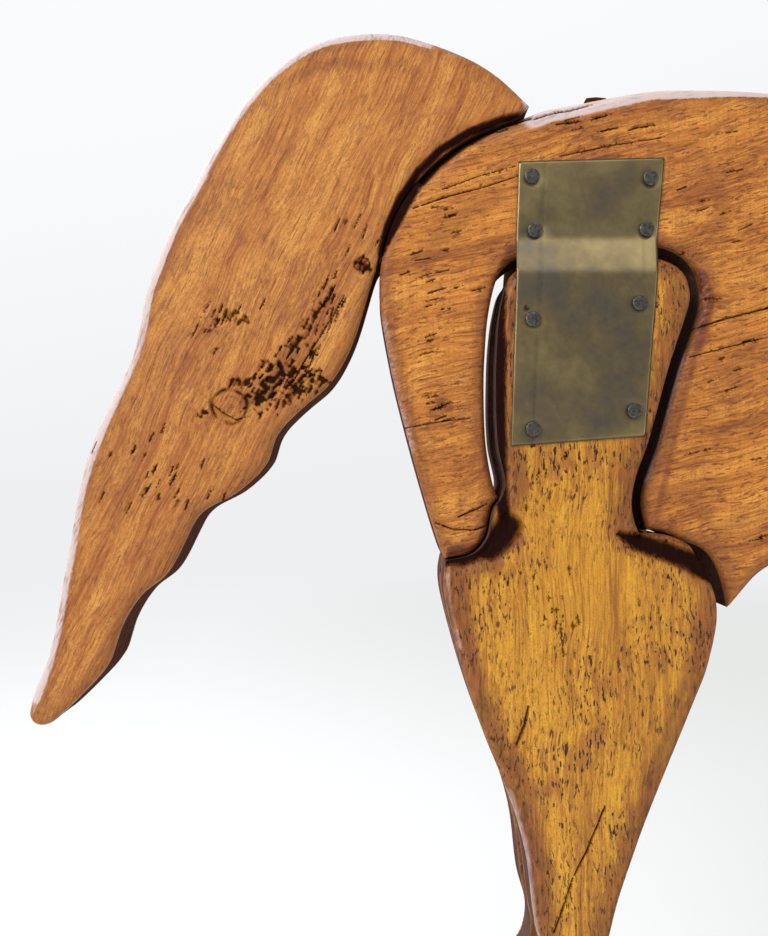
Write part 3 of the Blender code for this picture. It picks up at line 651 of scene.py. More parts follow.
def torn_grain(count, middle, spread, angle, length, proud=0.0):
    """Scatter short tears along the grain about a pixel of the photograph."""
    strokes = []
    for i in range(count):
        u, v = (random.gauss(m, s) for m, s in zip(middle, spread))
        half = random.uniform(*length) / 2
        way = angle + random.gauss(0, 0.09)
        du, dv = half * math.cos(way), -half * math.sin(way)
        strokes.append(photo_stroke([(u - du, v - dv), (u + du, v + dv)],
                                    random.uniform(0.3, 0.6), random.uniform(0.4, 1.0), proud))
    return strokes


TAIL_GRAIN = math.radians(65)
TAIL_ARRIS = 0.0030
TAIL_TOP_ARRIS = 0.0046


def tail_arris(x, z, nx, nz):
    """Return the arris of the tail's edge, a little wider where the edge faces up or back."""
    return TAIL_ARRIS + (TAIL_TOP_ARRIS - TAIL_ARRIS) * max(0.0, 0.7 * nz - 0.7 * nx)


TAIL_KNOTS = [(at(230, 406), 0.0072, 1.0), (at(362, 264), 0.0030, 1.0)]
TAIL_PATCHES = [
    ([at(258, 398), at(276, 372), at(300, 380)], 0.0075, 0.0014, math.radians(50)),
    ([at(292, 348), at(312, 322), at(330, 292)], 0.0034, 0.0010, TAIL_GRAIN),
    ([at(292, 398), at(318, 378)], 0.0050, 0.0010, math.radians(60)),
    ([at(362, 262), at(364, 266)], 0.0036, 0.0012, TAIL_GRAIN),
    ([at(234, 384), at(254, 380)], 0.0030, 0.0009, math.radians(75)),
    ([at(226, 312), at(246, 322)], 0.0030, 0.0008, TAIL_GRAIN),
    ([at(205, 412), at(200, 418)], 0.0020, 0.0010, TAIL_GRAIN),
]
# wear at the tail's tip, and a painted highlight of pale lavender down its upper left edge
TAIL_WEAR_AND_HIGHLIGHT = [photo_soft_mark([(525, 100), (530, 107)], 1.8, 0.55),
             photo_soft_mark([(36, 690), (58, 590), (76, 490), (104, 410), (142, 320), (160, 250), (210, 140),
                          (266, 70), (340, 38), (420, 42)], 5.0, 1.0)]
# the seam where the tail meets the croup, where painted shade is laid on both boards
SEAM = [(529, 111), (500, 119), (470, 131), (440, 149), (418, 171), (400, 197), (388, 223), (381, 252)]
tail_cuts = torn_grain(26, (300, 360), (20, 22), TAIL_GRAIN, (5, 12))
tail_cuts += torn_grain(10, (335, 300), (10, 22), TAIL_GRAIN, (6, 16))
tail_cuts += torn_grain(26, (160, 470), (30, 26), TAIL_GRAIN, (5, 12))
tail_cuts += torn_grain(14, (212, 320), (20, 12), TAIL_GRAIN, (5, 11))
tail_cuts += torn_grain(6, (360, 225), (12, 14), TAIL_GRAIN, (6, 14))
tail_cuts += [
    # painted shade along the seam, cut shallow and drawn dark
    photo_stroke([(530, 111), (500, 119), (470, 131), (441, 149), (418, 171), (400, 198), (388, 224),
                  (380, 252), (376, 275)], 1.7, 0.6),
    photo_stroke([(212, 404), (222, 412), (236, 420), (248, 416)], 0.35, 0.8),
    photo_stroke([(330, 320), (318, 340), (304, 362), (292, 384)], 0.45, 1.0),
    photo_stroke([(344, 296), (334, 314), (328, 332)], 0.4, 0.8),
]
tail_stains_and_shade = [
    # painted shade along the seam; the strokes after it are stains
    photo_soft_mark(SEAM, 2.2, 0.9),
    photo_soft_mark([(292, 345), (268, 392), (246, 400)], 5.5, 0.62),
    photo_soft_mark([(330, 318), (306, 366)], 3.5, 0.42),
    photo_soft_mark([(232, 405), (214, 418)], 4.0, 0.40),
    photo_soft_mark([(362, 264), (361, 266)], 3.6, 0.9),
    photo_soft_mark([(362, 225), (352, 300)], 4.0, 0.35),
    photo_soft_mark([(272, 92), (300, 74), (335, 62), (372, 66)], 5.0, 0.5),
    photo_soft_mark([(228, 150), (262, 168), (290, 190)], 6.0, 0.2),
    photo_soft_mark([(176, 330), (148, 420), (118, 520)], 8.0, 0.4),
    photo_soft_mark([(436, 82), (462, 100), (490, 116)], 6.0, 0.34),
    photo_soft_mark([(38, 712), (52, 718)], 2.5, 0.5),
    photo_soft_mark([(120, 430), (130, 500)], 6.0, 0.3),
]
tail = carved_board("tail", "tail", tail_arris, tail_cuts, knots=TAIL_KNOTS,
                    patches=TAIL_PATCHES, stains_and_shade=tail_stains_and_shade, worn_and_highlight_runs=TAIL_WEAR_AND_HIGHLIGHT)
# orange-brown stain, wiped thin: long soft streaks down the board and small smudges across it
tail_wood = waxed_softwood("orange-brown waxed pine", "D89848", "C07C38", "944C22", TAIL_GRAIN,
                           contrast=0.9, fleck=0.5, blotch=0.45, blotch_size=20.0, pores=0.35, rim=0.4,
                           saw=0.42)
tail.data.materials.append(tail_wood)

# Body
# One softwood board with a slot fore and aft for the legs, stained redder than the tail. Its croup is
# rounded over with a rasp, and long drying cracks follow the rising grain.
BODY_GRAIN = math.radians(15)
BODY_ARRIS = 0.0030
CROUP_ARRIS = 0.0090
CROUP_BACK, CROUP_FRONT = at(540, 0)[0], at(785, 0)[0]
ABOVE_SLOTS = at(0, 180)[1]


def body_arris(x, z, nx, nz):
    """Return the arris of the body's edge, widest on the croup."""
    fade = min(1.0, max(0.0, (CROUP_FRONT - x) / (CROUP_FRONT - CROUP_BACK)))
    return BODY_ARRIS + (CROUP_ARRIS - BODY_ARRIS) * fade * (z > ABOVE_SLOTS) * max(0.0, nz)


body_cuts = [
    # painted shade under the tail on the body's rounded arris, cut shallow and drawn dark in two strokes
    photo_stroke([(532, 115), (502, 123), (472, 135), (445, 153), (422, 175), (404, 201), (391, 227),
                  (383, 254)], 2.5, 0.9),
    photo_stroke([(500, 124), (464, 141), (437, 161), (415, 186), (399, 215), (388, 244)], 3.0, 1.0),
    photo_stroke([(413, 208), (448, 196), (486, 186), (520, 175)], 0.5, 1.2),
    photo_stroke([(440, 190), (478, 176), (515, 166)], 0.4, 0.9),
    photo_stroke([(560, 156), (612, 145), (665, 137)], 0.4, 0.9),
    photo_stroke([(536, 117), (552, 112), (570, 109), (592, 103)], 0.6, 1.4),
    photo_stroke([(690, 330), (728, 318), (768, 308), (830, 296)], 0.6, 1.4),
    photo_stroke([(690, 357), (728, 347), (768, 337)], 0.4, 0.9),
    photo_stroke([(405, 428), (438, 422), (470, 418)], 0.35, 0.7),
    photo_stroke([(458, 517), (472, 511), (487, 504)], 0.5, 1.1),
    photo_stroke([(436, 523), (455, 530), (475, 530), (489, 525)], 0.5, 0.9),
    photo_stroke([(700, 300), (712, 298), (722, 299)], 0.3, 0.6),
]
body_cuts += torn_grain(9, (428, 300), (14, 30), BODY_GRAIN, (6, 16))
body_cuts += torn_grain(10, (437, 403), (10, 10), BODY_GRAIN, (5, 12))
body_cuts += torn_grain(12, (440, 250), (20, 30), BODY_GRAIN, (6, 16))
body_cuts += torn_grain(10, (720, 190), (30, 50), BODY_GRAIN, (6, 16))
body_cuts += torn_grain(12, (735, 420), (25, 60), BODY_GRAIN, (6, 16))
body_cuts += torn_grain(12, (620, 125), (50, 8), BODY_GRAIN, (8, 22))
# stains, and painted shade along the slot's edges and under the tail
body_stains_and_shade = [
    photo_soft_mark([(424, 262), (452, 222), (496, 196)], 8.0, 0.5),
    photo_soft_mark([(694, 146), (722, 196), (716, 236)], 7.0, 0.48),
    photo_soft_mark([(690, 500), (716, 530), (742, 520)], 6.0, 0.48),
    photo_soft_mark([(470, 400), (478, 452), (462, 500)], 5.0, 0.46),
    photo_soft_mark([(440, 285), (450, 320), (445, 372)], 6.0, 0.34),
    photo_soft_mark([(440, 402), (448, 408)], 3.5, 0.7),
    # painted shade along the slot's edges and under the body's lobe over the leg's shoulder
    photo_soft_mark([(492, 290), (484, 380), (486, 470)], 3.2, 0.7),
    photo_soft_mark([(512, 250), (496, 282)], 3.4, 0.85),
    photo_soft_mark([(672, 262), (702, 275), (710, 300), (698, 345)], 3.8, 0.85),
    photo_soft_mark([(698, 345), (676, 430), (656, 520)], 2.8, 0.62),
    photo_soft_mark([(450, 550), (480, 546), (488, 520)], 3.0, 0.8),
    # stains again
    photo_soft_mark([(560, 128), (640, 116), (730, 114)], 3.4, 0.40),
    # painted shade under the tail
    photo_soft_mark([(430, 184), (480, 152), (530, 134)], 5.0, 0.42),
    # stains again
    photo_soft_mark([(400, 280), (420, 300)], 6.0, 0.25),
    photo_soft_mark([(700, 555), (725, 595)], 3.0, 0.45),
    photo_soft_mark([(720, 262), (740, 258)], 2.2, 0.5),
]
# a painted highlight of pale lavender along the croup's rounded top, a faint pale run low on the rump, and
# painted highlights along the slot's right edge
BODY_WEAR_AND_HIGHLIGHT = [
    photo_soft_mark([(540, 116), (568, 108), (612, 98), (700, 90), (900, 86)], 5.5, 1.0),
    photo_soft_mark([(384, 320), (392, 380), (410, 450)], 4.0, 0.22),
    photo_soft_mark([(668, 262), (690, 288), (684, 350), (664, 420), (646, 480)], 1.5, 0.5),
]
body = carved_board("body", "body", body_arris, body_cuts, stains_and_shade=body_stains_and_shade, worn_and_highlight_runs=BODY_WEAR_AND_HIGHLIGHT,
                    wear_and_highlight=0.12)
# red-brown stain over rougher wood: short dark flecks, broad mottling and dark rims
body_wood = waxed_softwood("red-brown waxed pine", "E6A044", "C87E32", "7E3E1C", BODY_GRAIN, line=1.1,
                           run=26.0, contrast=0.72, fleck=0.8, blotch=0.6, blotch_size=30.0, pores=0.35,
                           rim=0.6, rim_width=8.0, seed=3.0)
body.data.materials.append(body_wood)

# Splinter
# A flake of the body's own wood that has lifted from its back behind the arris, dark with wax, and
# holds on by its root.
SPLINTER_BEHIND = (0.0045, 0.0075)      # metres behind the body's face, near and far
splinter_edge = [at(u, v) for u, v in ((584, 104), (589, 93), (599, 92), (609, 93), (611, 97), (600, 100))]
splinter_y = [BODY_FACE_Y + behind for behind in SPLINTER_BEHIND]
vertices = [(x, y, z) for y in splinter_y for x, z in splinter_edge]
sides = len(splinter_edge)
faces = [tuple(range(sides)), tuple(reversed(range(sides, 2 * sides)))]
faces += [(i, i + sides, (i + 1) % sides + sides, (i + 1) % sides) for i in range(sides)]
mesh = bpy.data.meshes.new("splinter")
mesh.from_pydata(vertices, [], faces)
mesh.attributes.new("dark", "FLOAT", "POINT").data.foreach_set("value", [0.8] * len(vertices))
splinter = bpy.data.objects.new("splinter", mesh)
bpy.context.scene.collection.objects.link(splinter)
splinter.data.materials.append(body_wood)
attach(splinter, "root")

# Legs
# Each leg is one board with upright grain, wiped paler and more ochre than the body, so that its open
# pores hold the dark stain. Its tenon stands in the slot beside its fellow's.
LEG_GRAIN = math.radians(90)
LEG_PROUD = 0.006                       # metres that the photographed leg's face stands before the body's
LEG_ARRIS = 0.0030
SHOULDER_ARRIS = 0.0070


def leg_arris(x, z, nx, nz):
    """Return the arris of a leg's edge, wide where it faces up."""
    return LEG_ARRIS + (SHOULDER_ARRIS - LEG_ARRIS) * max(0.0, nz) ** 2


# ochre stain wiped back to the wood: dark open pores in columns and broad dark flanks
leg_wood = waxed_softwood("ochre waxed pine", "DFA233", "CB8D2A", "985E22", LEG_GRAIN, line=1.0,
                          run=30.0, contrast=0.95, fleck=0.3, blotch=0.6, blotch_size=30.0, pores=1.0,
                          pore_size=(3.8, 1.0), rim=0.8, rim_width=13.0, seed=7.0)
LEG_SWELLS = [photo_soft_mark([(641, 538), (660, 541), (678, 548)], 4.6, 1.6)]
# painted highlights: a thin pale line inside the leg's left arris, and a pale strip low on its left edge
LEG_PAINTED_HIGHLIGHTS = [
    photo_soft_mark([(448, 575), (452, 610), (460, 645)], 2.0, 0.22, LEG_PROUD),
    photo_soft_mark([(508, 790), (524, 850), (532, 930)], 3.0, 0.3, LEG_PROUD),
]
# stains on the leg's face, with painted shade on its shoulders and along its tenon's edges
near_leg_stains_and_shade = [
    photo_soft_mark([(462, 580), (466, 640), (482, 700), (505, 765)], 5.6, 0.68, LEG_PROUD),
    photo_soft_mark([(704, 600), (700, 640), (672, 705), (655, 760), (640, 820)], 4.6, 0.62, LEG_PROUD),
    photo_soft_mark([(648, 775), (638, 830), (624, 890)], 6.5, 0.62, LEG_PROUD),
    # painted shade on the shoulders under the body, and along the tenon's edges in the slot
    photo_soft_mark([(462, 566), (494, 556), (520, 538)], 3.5, 0.7, LEG_PROUD),
    photo_soft_mark([(636, 540), (664, 556), (692, 574)], 3.5, 0.7, LEG_PROUD),
    photo_soft_mark([(506, 300), (500, 400), (500, 480), (512, 520)], 2.2, 0.5, LEG_PROUD),
    photo_soft_mark([(672, 270), (670, 330), (650, 420), (632, 510)], 2.2, 0.5, LEG_PROUD),
    # stains again
    photo_soft_mark([(555, 610), (565, 650)], 6.0, 0.25, LEG_PROUD),
    photo_soft_mark([(530, 830), (532, 900)], 4.0, 0.5, LEG_PROUD),
]
near_leg_cuts = [
    photo_stroke([(602, 802), (592, 826), (584, 845), (572, 868)], 0.6, 1.0, LEG_PROUD),
    photo_stroke([(570, 872), (562, 896), (551, 925)], 0.6, 1.0, LEG_PROUD),
    photo_stroke([(527, 704), (523, 722), (515, 742)], 0.9, 0.8, LEG_PROUD),
    # the shoulders' corners carved round, and drawn dark as painted shade under the body and along the slot
    photo_stroke([(436, 564), (463, 562), (480, 554), (493, 543), (503, 528), (504, 512), (502, 494),
                  (501, 470), (500, 430), (500, 380), (501, 330), (505, 290)], 3.0, 1.9, LEG_PROUD),
    photo_stroke([(478, 556), (497, 541), (508, 527), (506, 514)], 6.4, 3.2, LEG_PROUD),
    photo_stroke([(618, 534), (640, 543), (664, 551), (690, 561), (709, 580)], 4.6, 2.2, LEG_PROUD),
]
near_leg_cuts += torn_grain(16, (560, 620), (14, 20), LEG_GRAIN, (3, 9), LEG_PROUD)
near_leg_cuts += torn_grain(12, (545, 480), (12, 16), LEG_GRAIN, (3, 9), LEG_PROUD)
for end in ("hind", "fore"):
    for flank in ("right", "left"):
        near = flank == "right"
        marks = near and end == "hind"
        node = f"{end}_leg_{flank}"
        leg = carved_board(node, node, leg_arris, near_leg_cuts if marks else [], near_round=near,
                           far_round=not near, worn_and_lit_from=(-0.95, 0.1), wear_and_highlight=0.1,
                           worn_and_highlight_runs=LEG_PAINTED_HIGHLIGHTS if marks else (), stains_and_shade=near_leg_stains_and_shade if marks else (),
                           swells=LEG_SWELLS if end == "hind" else ())
        leg.data.materials.append(leg_wood)

# Neck and head
# One board butted against the chest, stained like the body, with a scalloped mane, an incised jaw,
# mouth, eye and nostril. It is outside the photograph and finished in keeping.
NECK_GRAIN = math.radians(75)
UNIT = 0.0055                           # metres in a hundredth of the height at the withers
EYE_SPOT = (48.6, 126.2)
EYE_RADIUS = 0.0044
NOSTRIL_SPOT = (60.5, 109.0)
LOCK_CUT = 0.017                        # metres, the longest cut in each lock of the mane
LOCK_VALLEY = -0.6                      # radians; the crest turns back this far between two locks
MANE_FRONT, MANE_FOOT = 39, 102         # hundredths; the mane lies behind and above these


def head_place(x, z):
    """Place a point given in hundredths of the height at the withers."""
    return x * UNIT, SOLE_Z + z * UNIT


def head_stroke(points, width, depth):
    """Place one cut on the head; its half width and depth are in millimetres."""
    return [head_place(*point) for point in points], width / 1000, depth / 1000


eye = head_place(*EYE_SPOT)
ring = [(eye[0] + EYE_RADIUS * math.cos(math.radians(a)), eye[1] + EYE_RADIUS * math.sin(math.radians(a)))
        for a in range(0, 361, 20)]
nostril = head_place(*NOSTRIL_SPOT)
head_cuts = [
    (ring, 0.0011, 0.0014),
    ([(nostril[0], nostril[1]), (nostril[0] + 0.0008, nostril[1] + 0.0006)], 0.0024, 0.0016),
    head_stroke([(58.8, 107.1), (57.0, 108.3), (55.2, 109.6)], 0.9, 1.4),
    head_stroke([(47.8, 110.4), (46.4, 113.5), (46.2, 117.0), (47.6, 120.2)], 1.0, 1.3),
    head_stroke([(42.3, 135.0), (42.4, 137.2), (43.2, 139.2)], 0.9, 1.2),
]
neck_loop = board_loop("neck_head")
ahead = np.roll(neck_loop, -1, axis=0) - neck_loop
heading = np.arctan2(ahead[:, 1], ahead[:, 0])
turn = (heading - np.roll(heading, 1) + np.pi) % (2 * np.pi) - np.pi
mane_limit = head_place(MANE_FRONT, MANE_FOOT)
on_mane = (neck_loop[:, 0] < mane_limit[0]) & (neck_loop[:, 1] > mane_limit[1])
valleys = neck_loop[(turn < LOCK_VALLEY) & on_mane]
valleys = valleys[np.argsort(valleys[:, 1])]
for lower, upper in zip(valleys, valleys[1:]):
    along = (upper - lower) / np.linalg.norm(upper - lower)
    inward = np.array([along[1], -along[0]])
    for start, length in ((upper, LOCK_CUT), ((upper + lower) / 2 + inward * 0.004, LOCK_CUT * 0.6),
                          (upper * 0.75 + lower * 0.25 + inward * 0.006, LOCK_CUT * 0.5)):
        path = [tuple(start + (inward * share - along * share ** 2 * 0.7) * length)
                for share in (0.0, 0.35, 0.7, 1.0)]
        head_cuts.append((path, 0.0008, 0.0012))
head = carved_board("neck_and_head", "neck_head", tail_arris, head_cuts, head_cuts,
                    worn_and_lit_from=(-0.7, 0.7))
# the body's stain on upright grain: longer streaks and a calmer face than the body's
neck_wood = waxed_softwood("red-brown waxed pine on the neck", "DA9238", "BF752C", "86441E",
                           NECK_GRAIN, line=1.1, run=34.0, contrast=0.85, fleck=0.55, blotch=0.5,
                           blotch_size=32.0, pores=0.3, rim=0.4, rim_width=7.0, seed=5.0)
head.data.materials.append(neck_wood)

# Plates
# Thin sheet brass, gone olive and brown with age, bent where it steps from the body on to the leg. It is
# dimpled round its nails.
PLATE_COLUMNS = 56
PLATE_STEP = 0.0011                     # metres between rows of the plate's mesh
BEND_RADIUS = 0.0016
DIMPLE = 0.00022
DEEPEST = 0.00045                       # metres; the sheet sinks no further below its CAD face
SHEET = 0.0004                          # metres of brass that the mesh shows at an edge
PUNCH_MARK = at(526, 309, LEG_PROUD)
PUNCH_RADIUS = 0.0011
# sheet brass, rolled and aged: a low metal shine under a smoky olive tarnish, with painted highlights
# beside the nails, and painted shade nearly black on its cut edges
aged_brass = bpy.data.materials.new("aged sheet brass")
aged_brass.use_nodes = True
tree = aged_brass.node_tree
tree.nodes.clear()
spot = add(tree, "ShaderNodeTexCoord").outputs["Object"]
smoke = add(tree, "ShaderNodeTexNoise", {"Scale": 1000 / 26, "Detail": 5.0, "Roughness": 0.6},
            {"Vector": spot})
handled = add(tree, "ShaderNodeTexNoise", {"Scale": 1000 / 2.4, "Detail": 4.0}, {"Vector": spot})
tone = add(tree, "ShaderNodeValToRGB", {
    "stops": [(0.34, "72695A"), (0.47, "827354"), (0.64, "9C8A60")]}, {"Fac": smoke})
# the pale painted highlight beside the nails, then near-black painted shade on the edges and the crease,
# which also marks the punch hole
for label, colour in (("rubbed", "CDBE86"), ("tarnish", "2C241A")):
    there = add(tree, "ShaderNodeAttribute", {"attribute_name": label}).outputs["Fac"]
    tone = add(tree, "ShaderNodeMix", {"data_type": "RGBA", 7: linear(colour)}, {0: there, 6: tone})
    tone = tone.outputs[2]
rough = add(tree, "ShaderNodeMapRange", {"To Min": 0.30, "To Max": 0.46}, {"Value": handled})
relief = add(tree, "ShaderNodeBump", {"Strength": 0.15, "Distance": 0.0004}, {"Height": smoke})
sheet = add(tree, "ShaderNodeBsdfPrincipled", {"Metallic": 0.9}, {
    "Base Color": tone, "Roughness": rough, "Normal": relief})
add(tree, "ShaderNodeOutputMaterial", links={"Surface": sheet})


def nail_frame(node):
    """Return a nail's head centre, on the outside, and the way that it faces."""
    co = np.array([v.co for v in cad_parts[node].data.vertices])
    side = math.copysign(1.0, co[:, 1].mean())
    outward = co[:, 1] * side
    tip = co[outward.argmin()]
    rim = np.unique(co[outward > outward.max() - 0.0002].round(6), axis=0)
    top = (rim.min(0) + rim.max(0)) / 2
    axis = (top - tip) / np.linalg.norm(top - tip)
    return top, axis


def plate(node):
    """Model one plate on the CAD plate's corners and bends."""
    co = np.unique(np.array([v.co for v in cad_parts[node].data.vertices]).round(6), axis=0)
    side = math.copysign(1.0, co[:, 1].mean())
    corner = {}
    for sx in (-1, 1):
        for sz in (-1, 1):
            best = co[(sx * co[:, 0] + sz * co[:, 2]).argmax()]
            corner[sx, sz] = np.array([best[0], best[2]])
    back_line = corner[-1, 1] - corner[-1, -1]
    across = (co[:, 0] - corner[-1, -1][0]) * back_line[1] - (co[:, 2] - corner[-1, -1][1]) * back_line[0]
    edge = co[np.abs(across) / np.linalg.norm(back_line) < 0.0002]
    heights = sorted(set(edge[:, 2].round(4)))
    seats = [np.abs(edge[np.abs(edge[:, 2] - z) < 0.0002, 1]) for z in heights]
    over = [s.max() for s in seats]
    nails = [nail_frame(f"{node}_nail_{i}")[0] for i in range(1, 9)]
    rows = math.ceil((heights[-1] - heights[0]) / PLATE_STEP)
    vertices, faces, glints, stains_and_shade = [], [], [], []
    for skin in range(2):
        for r in range(rows + 1):
            share_z = r / rows
            left = corner[-1, -1] + (corner[-1, 1] - corner[-1, -1]) * share_z
            right = corner[1, -1] + (corner[1, 1] - corner[1, -1]) * share_z
            for c in range(PLATE_COLUMNS + 1):
                share_x = c / PLATE_COLUMNS
                x, z = left + (right - left) * share_x
                spread = [np.interp(z + d, heights, over) for d in np.linspace(-1, 1, 9) * BEND_RADIUS]
                y = sum(spread) / 9
                # the shears turned the edge, the sides curl back, and the sheet is a little wavy
                side_gap = min(share_x, 1 - share_x) * 0.06
                end_gap = min(share_z, 1 - share_z) * 0.115
                sag = 0.00005 * max(0.0, 1 - min(side_gap, end_gap) / 0.0012) ** 2
                sag += 0.00022 * max(0.0, share_x - 0.90) / 0.10
                sag += 0.00016 * max(0.0, 0.13 - share_x) / 0.13
                sag += 0.00012 * (0.5 + 0.5 * noise.noise(Vector((x * 45, side, z * 45))))
                crease = 0.16 + 0.02 * share_z
                for fold, hard in ((crease, 1.0), (0.915, 0.7)):
                    sag += hard * 0.00018 * max(0.0, 1 - abs(share_x - fold) * 60)
                # each nail pulls the sheet in, and a painted highlight sits beside its head
                for nx, ny, nz in nails:
                    gap = math.hypot(x - nx, z - nz)
                    sag += DIMPLE * math.exp(-(max(0.0, gap - 0.0028) / 0.0014) ** 2)
                vertices.append((x, side * (y - min(sag, DEEPEST) - skin * SHEET), z))
                # the painted highlight: a pale spot beside the head of each upper nail
                halo = min(math.hypot(x - nx - 0.0035, z - nz + 0.001) for nx, ny, nz in nails)
                glints.append(0.5 * math.exp(-(halo / 0.0026) ** 2) * (share_z > 0.6))
                # painted shade: nearly black round the sheet's outer edge and fainter along the crease; the
                # punch mark is dark too
                line = max(0.0, 1 - abs(share_x - crease) * 50)
                punched = node == "hind_plate_right" and math.dist((x, z), PUNCH_MARK) < PUNCH_RADIUS
                outer = c in (0, PLATE_COLUMNS) or r in (0, rows)
                stains_and_shade.append(max(0.75 * outer, 0.22 * line, float(punched)))
    width = PLATE_COLUMNS + 1
    total = (rows + 1) * width
    for r in range(rows):
        for c in range(PLATE_COLUMNS):
            a = r * width + c
            quad = (a, a + 1, a + 1 + width, a + width)
            faces.append(quad if side < 0 else quad[::-1])
            low = tuple(i + total for i in quad)
            faces.append(low[::-1] if side < 0 else low)
    border = [c for c in range(PLATE_COLUMNS)]
    border += [r * width + PLATE_COLUMNS for r in range(rows)]
    border += [rows * width + c for c in range(PLATE_COLUMNS, 0, -1)]
    border += [r * width for r in range(rows, 0, -1)]
    for a, b in zip(border, border[1:] + border[:1]):
        quad = (b, a, a + total, b + total)
        faces.append(quad if side < 0 else quad[::-1])
    mesh = bpy.data.meshes.new(node)
    mesh.from_pydata(vertices, [], faces)
    mesh.shade_smooth()
    for label, values in (("rubbed", glints), ("tarnish", stains_and_shade)):
        mesh.attributes.new(label, "FLOAT", "POINT").data.foreach_set("value", values)
    piece = bpy.data.objects.new("aged_" + node, mesh)
    bpy.context.scene.collection.objects.link(piece)
    piece.data.materials.append(aged_brass)
    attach(piece, "root")
    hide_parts(node)


plates = [f"{end}_plate_{flank}" for end in ("hind", "fore") for flank in ("right", "left")]
for node in plates:
    plate(node)

# Nails
# Clout nails of dull steel with flat round heads, hammered home through the brass, eight in each plate.
HEAD_RADIUS = 0.0030
HEAD_THICKNESS = 0.0009
SHANK_RADIUS = 0.0011
HEAD_SIDES = 28
# mild steel, dulled and pitted by the hammer: small grey discs with only a broken, cloudy shine; the
# pits are drawn three times as coarse as they are, so that they show
dull_steel = bpy.data.materials.new("dull hammered steel")
dull_steel.use_nodes = True
tree = dull_steel.node_tree
tree.nodes.clear()
spot = add(tree, "ShaderNodeTexCoord").outputs["Object"]
grit = add(tree, "ShaderNodeTexNoise", {"Scale": 1000 / 1.1, "Detail": 3.0}, {"Vector": spot})
tone = add(tree, "ShaderNodeValToRGB", {"stops": [(0.35, "454240"), (0.65, "69645F")]}, {"Fac": grit})
dents = add(tree, "ShaderNodeBump", {"Strength": 0.12, "Distance": 0.0003}, {"Height": grit})
steel = add(tree, "ShaderNodeBsdfPrincipled", {"Metallic": 1.0, "Roughness": 0.5},
            {"Base Color": tone, "Normal": dents})
add(tree, "ShaderNodeOutputMaterial", links={"Surface": steel})


def nail(node):
    """Turn one nail, its head slightly domed and its rim rounded."""
    top, axis = nail_frame(node)
    axis = Vector(axis)
    turn = axis.to_track_quat("Z", "Y")
    co = np.array([v.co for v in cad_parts[node].data.vertices])
    length = max((Vector(top) - Vector(c)).dot(axis) for c in co)
    rim = HEAD_THICKNESS
    profile = [(0.35, 0.0), (0.7, 0.00004), (0.88, 0.00012), (0.97, 0.00026), (1.0, 0.0005), (0.99, rim)]
    profile = [(radius * HEAD_RADIUS, depth) for radius, depth in profile]
    profile += [(SHANK_RADIUS, rim), (SHANK_RADIUS, length - 0.003)]
    vertices = [tuple(Vector(top))]
    for radius, depth in profile:
        for i in range(HEAD_SIDES):
            angle = 2 * math.pi * i / HEAD_SIDES
            spot = turn @ Vector((radius * math.cos(angle), radius * math.sin(angle), -depth))
            vertices.append(tuple(Vector(top) + spot))
    vertices.append(tuple(Vector(top) - axis * length))
    faces = []
    for i in range(HEAD_SIDES):
        j = (i + 1) % HEAD_SIDES
        faces.append((0, 1 + i, 1 + j))
        for ring in range(len(profile) - 1):
            a = 1 + ring * HEAD_SIDES
            faces.append((a + i, a + HEAD_SIDES + i, a + HEAD_SIDES + j, a + j))
        a = 1 + (len(profile) - 1) * HEAD_SIDES
        faces.append((a + i, len(vertices) - 1, a + j))
    mesh = bpy.data.meshes.new(node)
    mesh.from_pydata(vertices, [], faces)
    mesh.shade_smooth()
    piece = bpy.data.objects.new("turned_" + node, mesh)
    bpy.context.scene.collection.objects.link(piece)
    piece.data.materials.append(dull_steel)
    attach(piece, "root")
    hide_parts(node)


for node in plates:
    for i in range(1, 9):
        nail(f"{node}_nail_{i}")

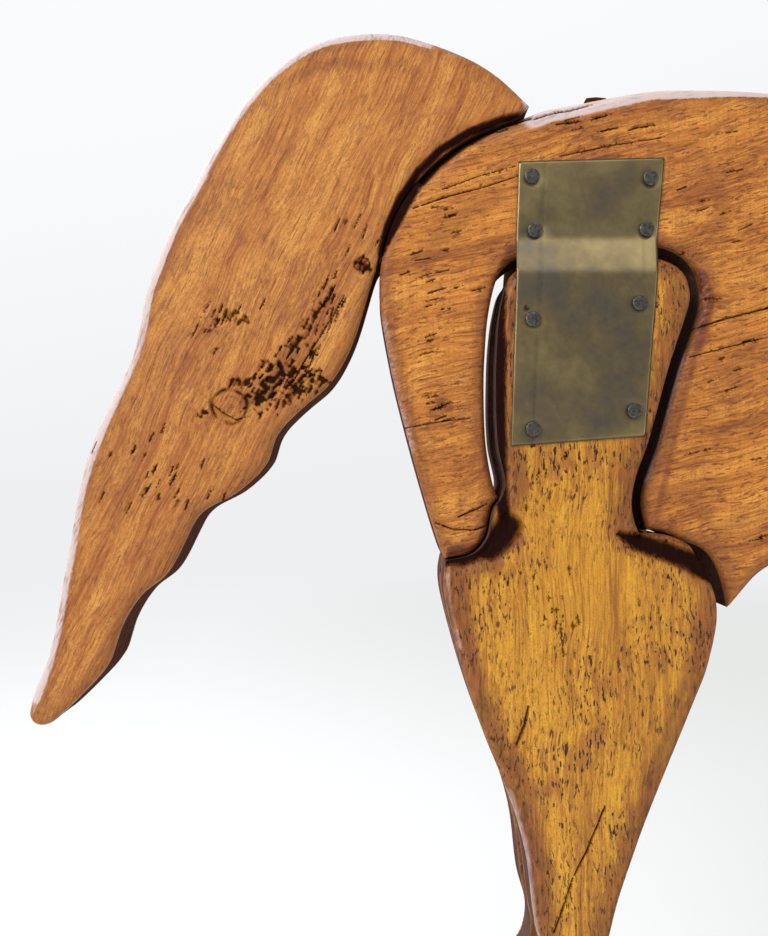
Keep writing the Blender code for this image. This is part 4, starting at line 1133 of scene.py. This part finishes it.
# Base
# A plain softwood board under the hooves, sawn, stained dark and rubbed round on its edges. It is
# outside the photograph and finished in keeping.
BASE_ROUND = 0.003
BASE_SPACING = (0.005, 0.005, 0.004)    # metres between grid lines, along, across and up


def rounded_lines(low, high, spacing):
    """Return grid lines between two limits, closer together in the rounded edges."""
    near = [BASE_ROUND * share for share in (0.0, 0.12, 0.3, 0.55, 0.8, 1.0)]
    count = max(1, round((high - low - 2 * BASE_ROUND) / spacing))
    middle = [low + BASE_ROUND + (high - low - 2 * BASE_ROUND) * i / count for i in range(1, count)]
    return [low + n for n in near] + middle + [high - n for n in reversed(near)]


low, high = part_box("base")
lines = [rounded_lines(low[i], high[i], BASE_SPACING[i]) for i in range(3)]
numbers = {}
vertices, faces = [], []


def base_vertex(i, j, k):
    """Return the number of one grid point on the base's skin, pushed in where the edges are round."""
    if (i, j, k) not in numbers:
        point = Vector((lines[0][i], lines[1][j], lines[2][k]))
        core = Vector([min(max(point[a], low[a] + BASE_ROUND), high[a] - BASE_ROUND) for a in range(3)])
        push = point - core
        if push.length > BASE_ROUND:
            push = push.normalized() * BASE_ROUND
        numbers[i, j, k] = len(vertices)
        vertices.append(tuple(core + push))
    return numbers[i, j, k]


sizes = [len(line) - 1 for line in lines]
for axis in range(3):
    b, c = [other for other in range(3) if other != axis]
    for end in (0, sizes[axis]):
        for p in range(sizes[b]):
            for q in range(sizes[c]):
                quad = []
                for dp, dq in ((0, 0), (1, 0), (1, 1), (0, 1)):
                    index = [0, 0, 0]
                    index[axis], index[b], index[c] = end, p + dp, q + dq
                    quad.append(base_vertex(*index))
                outward = (end > 0) == (axis != 1)
                faces.append(tuple(quad if outward else quad[::-1]))
mesh = bpy.data.meshes.new("base")
mesh.from_pydata(vertices, [], faces)
mesh.shade_smooth()
base = bpy.data.objects.new("base_board", mesh)
bpy.context.scene.collection.objects.link(base)
# dark brown stain, laid on thick: quiet long streaks and hardly a rim
base_wood = waxed_softwood("dark brown waxed pine", "9A6440", "80502F", "5C3522", 0.0, line=1.3,
                           run=70.0, blotch=0.4, blotch_size=40.0, pores=0.3, rim=0.0, seed=11.0)
base.data.materials.append(base_wood)
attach(base, "root")
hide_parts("base")
